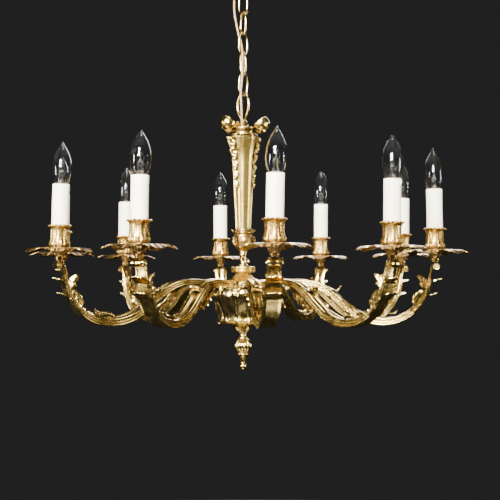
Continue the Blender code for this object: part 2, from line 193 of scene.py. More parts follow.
def end_faces(rows, columns):
    """The two faces that close a tube's ends."""
    return [list(range(columns))[::-1], list(range((rows - 1) * columns, rows * columns))]


def circle(radius, sides=14):
    angle = np.arange(sides) * 2 * pi / sides
    return radius * np.stack([np.cos(angle), np.sin(angle)], -1)


def tube(path, radius, sides=12):
    """A round tube along any open path, whose sections don't twist."""
    path = np.array(path, float)
    along = unit(np.gradient(path, axis=0))
    across = unit(np.cross(along[0], (0.31, 0.95, 0.05)))
    rings = []
    for point, way in zip(path, along):
        across = unit(across - way * (across @ way))
        section = circle(radius, sides)
        rings.append(point + section[:, :1] * across + section[:, 1:] * np.cross(way, across))
    rows = len(path)
    return np.vstack(rings), grid_faces(rows, sides, False, True) + end_faces(rows, sides)


def lobes(place, sharp=0.72):
    """How far out a leaf's edge is, 0 to 1, at a place counted in lobes: a swell, then a cut."""
    within = place - np.floor(place)
    swell = np.sin(pi / 2 * np.minimum(within / sharp, 1.0)) ** 0.8
    return swell * (1 - ramp(within, sharp, 1 - sharp) ** 1.5)


def leaf(spine, over, across, half, teeth, cut=0.35, lean=0.25, cup=0.0, flare=0.0, rib=0.0006,
         vein=0.0005, thick=0.0012, columns=17):
    """An acanthus leaf along a spine: half is its half width, and its lobes lean to its tip."""
    rows = len(spine)
    v, u = np.linspace(0, 1, rows)[:, None], np.linspace(-1, 1, columns)[None, :]
    lobe = lobes(v * teeth)
    reach = np.array(half)[:, None] * (1 - cut * (1 - lobe)) * u
    length = np.linalg.norm(np.diff(spine, axis=0), axis=1).sum()
    forward = lean * length / max(teeth, 1) * np.abs(u) * np.minimum(1, 4 * (1 - v))
    lift = cup * u**2 + flare * np.abs(u) ** 3 * lobe + rib * ridge(u, 0, 0.12)
    lift = lift + vein * np.abs(u) * np.cos(2 * pi * (v * teeth - 0.45)) * (1 - 0.5 * np.abs(u))
    way = unit(np.gradient(spine, axis=0))
    grid = (
        spine[:, None] + across[:, None] * reach[..., None]
        + over[:, None] * lift[..., None] + way[:, None] * forward[..., None]
    )
    return shell(grid, thick)


def leaflet(root, way, over, length, width, curl, thick=0.0013):
    """One rounded, pointed lobe that leaves its root along way and curls towards over."""
    t = np.linspace(0, 1, 9)
    spine = root + np.outer(t * length * (1 - 0.12 * t), way) + np.outer(curl * t**2, over)
    forward = unit(np.gradient(spine, axis=0))
    across = np.tile(unit(np.cross(over, way)), (9, 1))
    half = width / 2 * np.sin(pi * (0.22 + 0.76 * t)) ** 0.7
    return leaf(spine, unit(np.cross(forward, across)), across, half, 1, cut=0.0, lean=0.0,
                cup=0.10 * width, rib=0.0007, vein=0.0, thick=thick, columns=9)


def frond(spine, over, across, half, pairs, length, width, curl, spread, tilt, start=0.08,
          thick=0.0014):
    """An acanthus leaf: a blade and pairs of broad lobes, each overlapping the next one up."""
    rows = len(spine)
    way = unit(np.gradient(spine, axis=0))
    parts = [leaf(spine, over, across, np.array(half) * 0.72, pairs, cut=0.1, lean=0.2, rib=0.0012,
                  vein=0.0008, thick=thick, columns=15)]
    for k in range(pairs):
        i = int((start + (0.86 - start) * k / max(pairs - 1, 1)) * (rows - 1))
        size = 1.0 - 0.22 * k / pairs
        for side in (-1, 1):
            root = spine[i] + across[i] * side * half[i] * 0.50 - over[i] * 0.0004
            out = unit(way[i] * cos(spread) + across[i] * side * sin(spread))
            up = unit(over[i] * cos(tilt) + across[i] * side * sin(tilt))
            up = unit(up - out * (up @ out))
            parts.append(leaflet(root, out, up, length * size, width * size, curl * size, thick))
    parts.append(leaflet(spine[-1] - way[-1] * length * 0.45, way[-1], over[-1], length * 0.95,
                         width * 1.15, curl * 0.8, thick))
    return joined(*parts)


def fan_frames(points, per):
    """A spine through (radius, height) points in the XZ plane, and its ways over and across."""
    flat = spline(points, per)
    spine = np.stack([flat[:, 0], np.zeros(len(flat)), flat[:, 1]], -1)
    across = np.tile((0.0, 1.0, 0.0), (len(flat), 1))
    over = unit(np.cross(np.gradient(spine, axis=0), across))
    return spine, over, across


def fan_leaf(points, per, half_width, ends, power, teeth, **look):
    """A leaf along (radius, height) points. Its width is the part of a sine between these ends."""
    spine, over, across = fan_frames(points, per)
    half = half_width * np.sin(pi * np.linspace(*ends, len(spine))) ** power
    return leaf(spine, over, across, half, teeth, **look)


def finish_mesh(name, shape, material, angle=38):
    """A mesh of a shape, with doubled points joined and its faces turned outwards."""
    mesh = bpy.data.meshes.new(name)
    mesh.from_pydata([tuple(p) for p in shape[0]], [], [tuple(f) for f in shape[1]])
    work = bmesh.new()
    work.from_mesh(mesh)
    bmesh.ops.remove_doubles(work, verts=work.verts, dist=2e-6)
    bmesh.ops.recalc_face_normals(work, faces=work.faces)
    work.to_mesh(mesh)
    work.free()
    mesh.shade_smooth()
    mesh.set_sharp_from_angle(angle=radians(angle))
    mesh.materials.append(material)
    return mesh


def place(name, mesh, body="chandelier", slot="polished_brass", at=(0, 0, 0), turn=0.0,
          instead=None, lean=None):
    """A piece of this mesh, whose heights are from the datum, on a CAD body."""
    obj = bpy.data.objects.new(name, mesh)
    bpy.context.scene.collection.objects.link(obj)
    origin = Vector(at) + Vector((0, 0, DATUM_Z))
    matrix = Matrix.Translation(origin) @ Matrix.Rotation(turn, 4, "Z")
    obj.matrix_world = matrix @ lean if lean else matrix
    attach(obj, body)
    if instead:
        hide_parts(instead)
    return obj


# materials


class Nodes:
    """A material's node tree, with short calls to add and link nodes."""

    def __init__(self, name):
        self.material = bpy.data.materials.new(name)
        self.material.use_nodes = True
        self.tree = self.material.node_tree
        self.shader = self.tree.nodes["Principled BSDF"]

    def add(self, kind, links=None, **values):
        node = self.tree.nodes.new("ShaderNode" + kind)
        for key, value in values.items():
            if hasattr(node, key):
                setattr(node, key, value)
            else:
                node.inputs[key.replace("_", " ")].default_value = value
        for socket, source in (links or {}).items():
            self.tree.links.new(source, node.inputs[socket])
        return node

    def mix(self, share, first, second, blend="MIX"):
        node = self.tree.nodes.new("ShaderNodeMix")
        node.data_type, node.blend_type = "RGBA", blend
        for index, value in ((0, share), (6, first), (7, second)):
            if isinstance(value, bpy.types.NodeSocket):
                self.tree.links.new(value, node.inputs[index])
            else:
                node.inputs[index].default_value = value if index == 0 else (*value, 1.0)
        return node.outputs[2]

    def ranged(self, value, low, high, to_low, to_high):
        node = self.tree.nodes.new("ShaderNodeMapRange")
        self.tree.links.new(value, node.inputs["Value"])
        limits = {"From Min": low, "From Max": high, "To Min": to_low, "To Max": to_high}
        for key, number in limits.items():
            node.inputs[key].default_value = number
        return node.outputs["Result"]

    def math(self, operation, first, second):
        node = self.tree.nodes.new("ShaderNodeMath")
        node.operation = operation
        for index, value in enumerate((first, second)):
            if isinstance(value, bpy.types.NodeSocket):
                self.tree.links.new(value, node.inputs[index])
            else:
                node.inputs[index].default_value = value
        return node.outputs[0]

    def place(self, stretch=(1.0, 1.0, 1.0)):
        """Object coordinates, shifted for each copy so that no two wear alike."""
        source = self.add("TexCoord").outputs["Object"]
        shift = self.add("ObjectInfo").outputs["Random"]
        spread = self.add("VectorMath", {0: shift}, operation="SCALE")
        spread.inputs[3].default_value = 3.7
        moved_by = self.add("VectorMath", {0: source, 1: spread.outputs[0]}, operation="ADD")
        mapping = self.add("Mapping", {0: moved_by.outputs[0]})
        mapping.inputs["Scale"].default_value = stretch
        return mapping.outputs[0]

    def noise(self, at, scale, detail=3.0, rough=0.55):
        node = self.add("TexNoise", {"Vector": at}, Scale=scale, Detail=detail, Roughness=rough)
        return node.outputs["Fac"]

    def link(self, socket, source):
        self.tree.links.new(source, self.shader.inputs[socket])

    def bump(self, height, strength, distance):
        node = self.add("Bump", {"Height": height}, Strength=strength, Distance=distance)
        self.link("Normal", node.outputs["Normal"])


def brass(name, bright, warm, hollow, rough=(0.12, 0.30), patina_and_shade_strength=0.95, chased=0.0):
    """Old brass: bright where hands polish it, warmer in patches, and dark brown in its hollows,
    where an ambient-occlusion mask darkens the colour: partly patina, partly painted shade.
    """
    nodes = Nodes(name)
    at = nodes.place()
    patches = nodes.noise(at, 26.0)
    colour = nodes.mix(nodes.ranged(patches, 0.38, 0.68, 0.0, 1.0), bright, warm)
    # painted shade: this ambient-occlusion mask darkens the colour towards the hollow tone in
    # recesses, creases and gaps between parts, mottled like patina
    shade_occlusion = nodes.add("AmbientOcclusion", Distance=0.012)
    shade_occlusion.samples = 8
    patina_and_shade_mask = nodes.ranged(shade_occlusion.outputs["AO"], 0.38, 0.94, patina_and_shade_strength, 0.0)
    mottle = nodes.ranged(nodes.noise(at, 140.0, 5.0), 0.3, 0.7, 0.72, 1.15)
    patina_and_shade_mask = nodes.math("MULTIPLY", patina_and_shade_mask, mottle)
    patina_and_shade_mask = nodes.math("MINIMUM", patina_and_shade_mask, 1.0)
    nodes.link("Base Color", nodes.mix(patina_and_shade_mask, colour, hollow))
    wear = nodes.noise(at, 60.0, 6.0, 0.7)
    smooth = nodes.ranged(wear, 0.32, 0.7, *rough)
    nodes.link("Roughness", nodes.math("ADD", smooth, nodes.math("MULTIPLY", patina_and_shade_mask, 0.25)))
    nodes.shader.inputs["Metallic"].default_value = 1.0
    cast = nodes.noise(at, 420.0 if chased else 230.0, 4.0)
    nodes.bump(cast, 0.22 + chased, 0.0006)
    return nodes.material


def steel():
    nodes = Nodes("zinc_steel")
    at = nodes.place()
    spangle = nodes.add("TexVoronoi", {"Vector": at}, Scale=180.0).outputs["Color"]
    clouds = nodes.ranged(nodes.noise(at, 50.0), 0.3, 0.7, 0.0, 0.6)
    tone = nodes.mix(clouds, (0.56, 0.57, 0.58), (0.40, 0.41, 0.43))
    nodes.link("Base Color", nodes.mix(0.12, tone, spangle))
    nodes.link("Roughness", nodes.ranged(nodes.noise(at, 300.0), 0.3, 0.7, 0.28, 0.5))
    nodes.shader.inputs["Metallic"].default_value = 1.0
    nodes.bump(nodes.noise(at, 900.0), 0.15, 0.0002)
    return nodes.material


def candle():
    """Cream plastic tube with a mandrel's faint long lines, slightly see-through."""
    nodes = Nodes("candle_cream")
    at = nodes.place((1.0, 1.0, 0.06))
    lines = nodes.noise(at, 900.0, 3.0)
    cloud = nodes.noise(nodes.place(), 45.0, 4.0)
    yellowed = nodes.ranged(cloud, 0.35, 0.7, 0.0, 1.0)
    tone = nodes.mix(yellowed, (0.95, 0.88, 0.66), (0.92, 0.83, 0.58))
    nodes.link("Base Color", tone)
    nodes.link("Roughness", nodes.ranged(cloud, 0.3, 0.7, 0.34, 0.5))
    nodes.shader.inputs["Subsurface Weight"].default_value = 0.25
    nodes.shader.inputs["Subsurface Radius"].default_value = (0.006, 0.004, 0.002)
    nodes.bump(lines, 0.12, 0.0004)
    return nodes.material


def glass(name, tint, rough=0.0):
    nodes = Nodes(name)
    swirl = nodes.noise(nodes.place(), 38.0, 2.0)
    nodes.link("Base Color", nodes.mix(swirl, (1.0, 1.0, 1.0), tint))
    nodes.link("Roughness", nodes.ranged(swirl, 0.4, 0.75, rough, rough + 0.02))
    nodes.shader.inputs["Transmission Weight"].default_value = 1.0
    nodes.shader.inputs["IOR"].default_value = 1.46
    nodes.bump(nodes.noise(nodes.place(), 60.0, 2.0), 0.04, 0.0008)
    return nodes.material


def filament():
    nodes = Nodes("tungsten")
    grain = nodes.noise(nodes.place(), 2400.0)
    nodes.link("Base Color", nodes.mix(grain, (0.42, 0.41, 0.40), (0.62, 0.61, 0.58)))
    nodes.link("Roughness", nodes.ranged(grain, 0.3, 0.7, 0.3, 0.5))
    nodes.shader.inputs["Metallic"].default_value = 1.0
    return nodes.material


def flex_sheath():
    """Two cores laid up under a clear tan sheath: their twist shows as slanting ripples."""
    nodes = Nodes("flex_sheath")
    at = nodes.place()
    twist = nodes.add("TexWave", {"Vector": at}, Scale=70.0, Distortion=2.0,
                      bands_direction="DIAGONAL")
    turns = nodes.ranged(twist.outputs["Fac"], 0.2, 0.8, 0.0, 1.0)
    nodes.link("Base Color", nodes.mix(turns, (0.20, 0.11, 0.032), (0.34, 0.20, 0.065)))
    nodes.link("Roughness", nodes.ranged(nodes.noise(at, 300.0), 0.3, 0.7, 0.22, 0.4))
    nodes.shader.inputs["Coat Weight"].default_value = 0.2
    nodes.bump(turns, 0.25, 0.0004)
    return nodes.material


# the third colour of each brass is the dark tone painted into its hollows: partly patina, partly
# painted shade of the recesses
BRASS = brass("gilt_brass", (0.80, 0.58, 0.18), (0.68, 0.46, 0.12), (0.052, 0.034, 0.013))
SMOOTH = brass("smooth_brass", (0.82, 0.62, 0.22), (0.74, 0.53, 0.16), (0.060, 0.042, 0.018),
               (0.08, 0.22), 0.85)
SATIN = brass("satin_brass", (0.62, 0.44, 0.12), (0.54, 0.37, 0.09), (0.060, 0.042, 0.018),
              (0.24, 0.36), 0.85)
COPPER = brass("copper_gold", (0.50, 0.32, 0.09), (0.40, 0.23, 0.055), (0.050, 0.026, 0.009),
               (0.20, 0.36), 0.92, 0.1)
# painted shade: the pans get a darker copy of the cups' copper gold, standing for the shade on
# their plates
SHADED_PLATE = brass("plate_gold_painted_shade", (0.46, 0.29, 0.09), (0.34, 0.19, 0.055), (0.045, 0.024, 0.008),
              (0.22, 0.40), 0.92)
GOLDEN = brass("golden_brass", (0.74, 0.52, 0.09), (0.66, 0.43, 0.06), (0.14, 0.08, 0.02),
               (0.20, 0.36), 0.8)
STEEL = steel()
CANDLE = candle()
GLASS = glass("bulb_glass", (0.96, 0.98, 0.99))
STEM_GLASS = glass("bulb_stem_glass", (0.92, 0.94, 0.95), 0.16)
TUNGSTEN = filament()
FLEX = flex_sheath()


# suspension


def in_plane(across, height, plane):
    return (across * cos(plane), across * sin(plane), height)


def plane_side(plane):
    return (-sin(plane), cos(plane), 0.0)


def ceiling_fitting():
    top = -DATUM_Z
    plate = [(0.0, top), (0.0292, top), (0.030, top - 0.0008), (0.030, top - 0.0046),
             (0.0296, top - 0.005), (0.010, top - 0.005), (0.0092, top - 0.0058),
             (0.0090, top - 0.0130), (0.0028, top - 0.0130), (0.0028, top - 0.003),
             (0.0, top - 0.003)]
    place("plate", finish_mesh("plate", lathe(plate, 72), STEEL), "ceiling_fitting", "steel",
          instead="ceiling_plate")
    head = [(0.0, 0.0), (0.0046, 0.0), (0.0044, -0.0012), (0.0030, -0.0024), (0.0, -0.0028)]
    screw = finish_mesh("plate_screw", lathe(spline(head, 3), 24), STEEL)
    for i, side in enumerate((-1, 1)):
        at = (side * 0.021, 0, top - 0.005)
        place(f"plate_screw_{i + 1}", screw, "ceiling_fitting", "steel", at)
    seat, bend_r = 0.5403, 0.0090  # the level the chain hangs from, and the hook's bend
    centre = seat + bend_r
    bend = [in_plane(bend_r * cos(a), centre + bend_r * sin(a), EVEN_PLANE)
            for a in np.radians(np.arange(40, -221, -8))]
    shank = [(-0.0028, centre + 0.0096), (-0.0006, centre + 0.0130), (0.0, centre + 0.018),
             (0.0, top - 0.004)]
    path = bend[:-3] + [in_plane(a, h, EVEN_PLANE) for a, h in shank]
    hook = sweep(spline(path, 3), circle(0.0025), plane_side(EVEN_PLANE))
    place("hook", finish_mesh("hook", hook, BRASS), "ceiling_fitting", instead="ceiling_hook")
    canopy_parts()


def canopy_parts():
    outer = [(0.0550, 0.6193), (0.0550, 0.6193), (0.0551, 0.6165), (0.0545, 0.6140),
             (0.0528, 0.6128), (0.0522, 0.6110), (0.0490, 0.6070), (0.0430, 0.6030),
             (0.0370, 0.5990), (0.0300, 0.5948), (0.0240, 0.5900), (0.0196, 0.5850),
             (0.0170, 0.5810), (0.0148, 0.5780), (0.0120, 0.5762), (0.0034, 0.5758),
             (0.0034, 0.5758)]
    inner = [(0.0034, 0.5774), (0.0034, 0.5774), (0.0112, 0.5780), (0.0154, 0.5826),
             (0.0222, 0.5914), (0.0354, 0.6004), (0.0474, 0.6084), (0.0530, 0.6146),
             (0.0534, 0.6193), (0.0534, 0.6193)]

    def gadroons(angle, radius, height):
        share = ramp(height, 0.580, 0.012) * ramp(height, 0.6115, -0.006)
        return radius - 0.0008 * share * (0.5 - 0.5 * np.cos(24 * angle)), height

    shape = lathe(np.vstack([spline(outer, 3), spline(inner, 2)]), 192, gadroons, closed=True)
    place("canopy", finish_mesh("canopy", shape, BRASS), "ceiling_fitting",
          instead="ceiling_canopy")
    collar = [(0.0028, 0.5754), (0.0058, 0.5754), (0.0072, 0.5745), (0.0075, 0.5730),
              (0.0075, 0.5710), (0.0070, 0.5696), (0.0056, 0.5684), (0.0028, 0.5682)]

    def knurls(angle, radius, height):
        knurl = 1 - 0.05 * (0.5 - 0.5 * np.cos(28 * angle))
        return radius * np.where(radius > 0.0070, knurl, 1.0), height

    shape = lathe(spline(collar, 2), 112, knurls, closed=True)
    place("canopy_collar_ring", finish_mesh("collar", shape, BRASS), "ceiling_fitting",
          instead="canopy_collar")


def superellipse(angle, half_width, half_height, power=2.4):
    c, s = np.cos(angle), np.sin(angle)
    across = half_width * np.abs(c) ** (2 / power) * np.sign(c)
    return across, half_height * np.abs(s) ** (2 / power) * np.sign(s)


def chain():
    wire, length, half_width, split = 0.0018, 0.0410, 0.0087, 0.012
    for i in range(5):
        node = f"chain_link_{i + 1}"
        low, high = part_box(node)
        plane = ODD_PLANE if i % 2 == 0 else EVEN_PLANE
        centre = (low.z + high.z) / 2 - DATUM_Z
        angle = np.linspace(split, 2 * pi - split, 90)
        across, up = superellipse(angle, half_width, length / 2)
        path = [in_plane(a, centre + h, plane) for a, h in zip(across, up)]
        mesh = finish_mesh(node, sweep(path, circle(wire, 16), plane_side(plane)), SMOOTH, 60)
        place(f"link_{i + 1}", mesh, "chain", instead=node)


def hanging_loop():
    half = [(0.0034, 0.3050), (0.0036, 0.3075), (0.0050, 0.3125), (0.0085, 0.3190),
            (0.0125, 0.3275), (0.0140, 0.3375), (0.0123, 0.3475), (0.0070, 0.3560)]
    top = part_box("hanging_loop")[1].z - DATUM_Z - 0.0020
    route = [(-a, h) for a, h in half] + [(0.0, top)] + half[::-1]
    path = spline([in_plane(a, h, LOOP_PLANE) for a, h in route], 5)
    ring = sweep(path, circle(0.0020, 16), plane_side(LOOP_PLANE))
    nut = [(0.0, 0.3112), (0.0040, 0.3110), (0.0056, 0.3100), (0.0060, 0.3088), (0.0070, 0.3080),
           (0.0072, 0.3056), (0.0068, 0.3034), (0.0060, 0.3026), (0.0062, 0.3008), (0.0, 0.3008)]
    mesh = finish_mesh("loop", joined(ring, lathe(spline(nut, 3), 48)), BRASS, 50)
    place("loop", mesh, instead="hanging_loop")


def supply_flex():
    """The flex in two stretches, cut midway between the chain's joints."""
    route = spline(FLEX_ROUTE, 10) + np.array((0, 0, DATUM_Z))
    pivots = [j["pos_m"][2] for j in frame["joints"] if j["type"] == "hinge"]
    middles = [(a + b) / 2 for a, b in zip(pivots, pivots[1:])]
    cuts = [route[0, 2] + 1, *middles, route[-1, 2] - 1]
    for i, (upper, lower) in enumerate(zip(cuts, cuts[1:])):
        inside = [k for k, point in enumerate(route) if lower < point[2] <= upper]
        first, last = inside[0], min(inside[-1] + 1, len(route) - 1)
        piece = route[first:last + 1]
        mesh = finish_mesh(f"flex_{i + 1}", tube(piece, FLEX_R, 16), FLEX, 60)
        obj = bpy.data.objects.new(f"flex_{i + 1}", mesh)
        bpy.context.scene.collection.objects.link(obj)
        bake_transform(obj)
        if i == 0:
            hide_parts("supply_flex")


# centre column


def crown_shell():
    """A round shell, open up and inwards, with a scalloped rim and faint flutes on its back."""
    r, wall, scallops = 0.0146, 0.0015, 11
    outer = [(r * sin(a), -r * cos(a)) for a in np.radians(np.linspace(0, 88, 20))]
    rim = [(r + 0.0006, 0.0012), (r, 0.0024), (r - 0.0012, 0.0028), (r - wall - 0.0008, 0.0018)]
    inner = [(x * (1 - wall / r), z * (1 - wall / r)) for x, z in outer[::-1]]

    def scalloped(angle, radius, height):
        near_rim = ramp(height, -0.0062, 0.0075) ** 1.5
        wave = np.abs(np.sin(scallops * angle / 2)) ** 0.7
        flutes = 0.00035 * np.cos(scallops * angle) * ramp(radius, 0, r)
        edge = 0.0011 * near_rim
        return radius + edge * (wave - 0.45) + flutes, height + edge * wave

    return lathe(outer + rim + inner, 144, scalloped)


def crown():
    outer = [(0.0075, 0.3003), (0.0075, 0.3003), (0.0078, 0.2950), (0.0100, 0.2936),
             (0.0200, 0.2934), (0.0238, 0.2944), (0.0252, 0.2956), (0.0266, 0.2950),
             (0.0268, 0.2936), (0.0252, 0.2926), (0.0240, 0.2900), (0.0228, 0.2868),
             (0.0236, 0.2846), (0.0262, 0.2836), (0.0268, 0.2822), (0.0255, 0.2808),
             (0.0210, 0.2798), (0.0210, 0.2798), (BORE_R, 0.2798), (BORE_R, 0.2798),
             (BORE_R, 0.3003), (BORE_R, 0.3003)]
    ring = lathe(spline(outer, 3), 120, closed=True)
    place("crown_ring", finish_mesh("crown_ring", ring, BRASS), instead="crown")
    at = Matrix.Translation((0.0352, 0.0, 0.3022)) @ Matrix.Rotation(radians(-43), 4, "Y")
    shape = moved(crown_shell(), at)
    lip = [(0.0235, 0.2866), (0.0285, 0.2852), (0.0340, 0.2850), (0.0395, 0.2862), (0.0430, 0.2880)]
    spine, over, across = fan_frames(lip, 6)
    half = 0.0098 * np.sqrt(1 - np.linspace(0, 0.97, len(spine)) ** 2)
    lip_leaf = leaf(spine, over, across, half, 3, cut=0.2, cup=0.0035, thick=0.0013)
    lobe = finish_mesh("crown_shell", joined(shape, lip_leaf), BRASS, 60)
    for i, angle in enumerate(LOBE_ANGLES):
        place(f"crown_shell_{i + 1}", lobe, turn=angle)


STEM_LEVELS = (
    (0.1075, 0.0137), (0.1450, 0.0155), (0.1830, 0.0176), (0.2100, 0.0190), (0.2370, 0.0208),
    (0.2550, 0.0236), (0.2660, 0.0268), (0.2740, 0.0292), (0.2795, 0.0302),
)


def stem_radius(height):
    heights, radii = np.array(STEM_LEVELS).T
    return np.interp(height, heights, radii)


def past_rib(angle):
    """How far round an angle is from the middle of the nearest rib of the stem."""
    return (angle - RIB_ANGLES[0] + pi / 3) % (2 * pi / 3) - pi / 3


def stem():
    """Three broad soft ribs with raised borders, and a husk garland down each valley."""
    levels = spline([(r, z) for z, r in STEM_LEVELS], 9)[::-1]

    def ribs(angle, radius, height):
        top = ramp(height, 0.245, 0.034)
        x = past_rib(angle) / (radians(34) - radians(9) * top**2)
        flute = -0.0005 * ridge(x, 0, 0.34) * (1 + 0.8 * top)
        border = 0.00085 * ridge(np.abs(x), 1, 0.075)
        valley = -0.0019 * ramp(np.abs(x), 1.06, 0.14)
        return radius * 0.975 + flute + border + valley, height

    outer = lathe(levels, 240, ribs)
    ends = (levels[0], levels[-1])
    caps = [lathe([(r * 0.93, height), (BORE_R, height)], 240) for r, height in ends]
    bands = []
    for height, proud, thick in ((0.1100, 0.0012, 0.0016), (0.1128, 0.0006, 0.0010)):
        r = float(stem_radius(height)) + proud
        bands.append(lathe(spline([(r - 0.004, height - thick), (r, height - thick * 0.6),
                                   (r + 0.0003, height), (r, height + thick * 0.6),
                                   (r - 0.004, height + thick)], 4), 120, closed=True))
    body = finish_mesh("stem_body", joined(outer, *caps, *bands), SATIN, 50)
    place("stem_body", body, instead="stem")
    mesh = finish_mesh("garland", garland_shape(), BRASS, 60)
    for i, angle in enumerate(VALLEY_ANGLES):
        place(f"garland_{i + 1}", mesh, turn=angle)


def garland_shape():
    """Husks hung one below another, each smaller. The top two have a pair of side leaves."""
    parts = []
    count, top, low = 5, 0.2775, 0.2010
    for i in range(count):
        share = i / (count - 1)
        height = top + (low - top) * share**0.95
        size = 1.15 - 0.42 * share
        drop = 0.0178 * size
        r, middle, below = (
            float(stem_radius(height - drop * d)) - 0.0016 for d in (0.0, 0.55, 1.0)
        )
        points = [(r, height), (middle + 0.0022, height - drop * 0.30),
                  (middle + 0.0044 * size, height - drop * 0.66),
                  (below + 0.0046 * size, height - drop * 0.9),
                  (below + 0.0062 * size, height - drop)]
        husk = fan_leaf(points, 6, 0.0050 * size, (0.10, 0.96), 0.75, 3, cut=0.22,
                        cup=-0.0030 * size, rib=0.0009, vein=0.0006, thick=0.0015, columns=15)
        parts.append(husk)
        for side in (-1, 1) if i < 2 else ():
            root = np.array((r + 0.0008, side * 0.0026, height - drop * 0.05))
            way = unit(np.array((0.10, side * 0.80, -0.60)))
            parts.append(leaflet(root, way, np.array((1.0, 0.0, 0.0)), 0.0088, 0.0052, 0.0030))
        bead = [(0.0, 0.0024), (0.0017, 0.0017), (0.0024, 0.0), (0.0017, -0.0017), (0.0, -0.0024)]
        at = Matrix.Translation((r + 0.0026, 0, height - drop * 0.16)) @ Matrix.Scale(size, 4)
        parts.append(moved(lathe(spline(bead, 2), 14), at))
    return joined(*parts)


def knop():
    """A leafy ring over three smooth cartouches, with scrolling leaves between them."""
    outer = [(0.0150, 0.1072), (0.0178, 0.1071), (0.0187, 0.1062), (0.0187, 0.1050),
             (0.0176, 0.1040), (0.0158, 0.1026), (0.0160, 0.1010), (0.0174, 0.0980),
             (0.0184, 0.0940), (0.0187, 0.0900), (0.0178, 0.0855), (0.0152, 0.0812),
             (0.0118, 0.0776), (0.0092, 0.0748), (0.0080, 0.0728), (0.0080, 0.0728),
             (BORE_R, 0.0728)]

    def swirls(angle, radius, height):
        body = ramp(height, 0.076, 0.006) * ramp(height, 0.1015, -0.004)
        turn = past_rib(angle)
        panel = ridge(turn, 0, radians(24), 4) * ridge(height, 0.0915, 0.0075, 4)
        slant = 1.5 * np.abs(np.abs(turn) - radians(60))
        leafy = np.cos(2 * pi * ((height - 0.073) / 0.0058 - slant))
        deep = -0.0009 * (0.5 - 0.5 * leafy) * (1 - panel) * body
        notch = -0.0018 * ridge(turn, 0, radians(17), 4) * ridge(height, 0.0822, 0.0010)
        return radius + deep + notch + 0.0008 * panel * body, height

    shape = lathe(spline(outer, 4), 180, swirls)
    tips = []
    for points, half_width in (
        ([(0.0168, 0.1052), (0.0192, 0.1060), (0.0212, 0.1080), (0.0222, 0.1104)], 0.0036),
        ([(0.0170, 0.0990), (0.0198, 0.0956), (0.0212, 0.0900), (0.0204, 0.0850), (0.0222, 0.0822)],
         0.0058),
    ):
        tips.append(fan_leaf(points, 6, half_width, (0.25, 0.97), 0.8, 3, cut=0.35, cup=0.0012,
                             thick=0.0012, columns=11))
    around = [a + pi / 3 for a in RIB_ANGLES]
    ears = [a + s * radians(22) for a in around for s in (-1, 1)]
    shape = joined(shape, turned_copies(tips[1], around), turned_copies(tips[0], ears))
    place("knop", finish_mesh("knop", shape, COPPER, 45), slot="copper_gold", instead="stem_knop")


def spindle():
    outer = [(0.0066, 0.0725), (0.0074, 0.0722), (0.0078, 0.0712), (0.0074, 0.0702),
             (0.0066, 0.0696), (0.0072, 0.0676), (0.0073, 0.0655), (0.0066, 0.0628),
             (0.0060, 0.0600), (0.0058, 0.0560), (0.0059, 0.0530), (0.0063, 0.0508),
             (0.0074, 0.0494), (0.0076, 0.0484), (0.0072, 0.0478), (0.0086, 0.0472),
             (0.0093, 0.0464), (0.0092, 0.0452), (0.0088, 0.0447), (0.0088, 0.0447),
             (BORE_R, 0.0447)]
    mesh = finish_mesh("spindle_turning", lathe(spline(outer, 4), 72), SMOOTH)
    place("spindle_turning", mesh, instead="spindle")
    shank = [(0.0, 0.0), (0.0011, 0.0), (0.0011, 0.0030), (0.0016, 0.0034), (0.0024, 0.0044),
             (0.0026, 0.0058), (0.0020, 0.0074), (0.0008, 0.0082), (0.0, 0.0083)]
    screw = moved(lathe(spline(shank, 3), 24), Matrix.Rotation(pi / 2, 4, "Y"))
    turn = radians(-8)
    place("earth_screw", finish_mesh("earth_screw", screw, SMOOTH),
          at=(0.0048 * cos(turn), 0.0048 * sin(turn), 0.0537), turn=turn)


def bell():
    outer = [(0.0200, 0.0444), (0.0200, 0.0444), (0.0213, 0.0438), (0.0220, 0.0424),
             (0.0218, 0.0408), (0.0206, 0.0400), (0.0206, 0.0386), (0.0219, 0.0378),
             (0.0220, 0.0364), (0.0212, 0.0350), (0.0195, 0.0344), (0.0142, 0.0340),
             (0.0128, 0.0326), (0.0142, 0.0304), (0.0166, 0.0274), (0.0196, 0.0242),
             (0.0236, 0.0212), (0.0284, 0.0190), (0.0304, 0.0178), (0.0304, 0.0178),
             (BORE_R, 0.0178), (BORE_R, 0.0178), (BORE_R, 0.0444)]

    def flutes(angle, radius, height):
        share = ramp(height, 0.0325, -0.005) * (radius > 0.006)
        petal = np.abs(np.sin(14 * angle))
        edge = ramp(height, 0.0205, -0.003) * (radius > 0.02)
        return radius - 0.0011 * share * (1 - petal) ** 2 - 0.0018 * edge * (1 - petal), height

    mesh = finish_mesh("bell", lathe(spline(outer, 4), 224, flutes, closed=True), GOLDEN, 45)
    place("bell", mesh, slot="golden_brass", instead="bell_cover")


def hub():
    outer = [(0.0430, 0.0176), (0.0462, 0.0172), (0.0471, 0.0160), (0.0471, 0.0045),
             (0.0462, 0.0037), (0.0430, 0.0034), (BORE_R, HUB_FOOT), (BORE_R, 0.0176)]
    place("hub", finish_mesh("hub", lathe(outer, 90, closed=True), BRASS), instead="arm_hub")


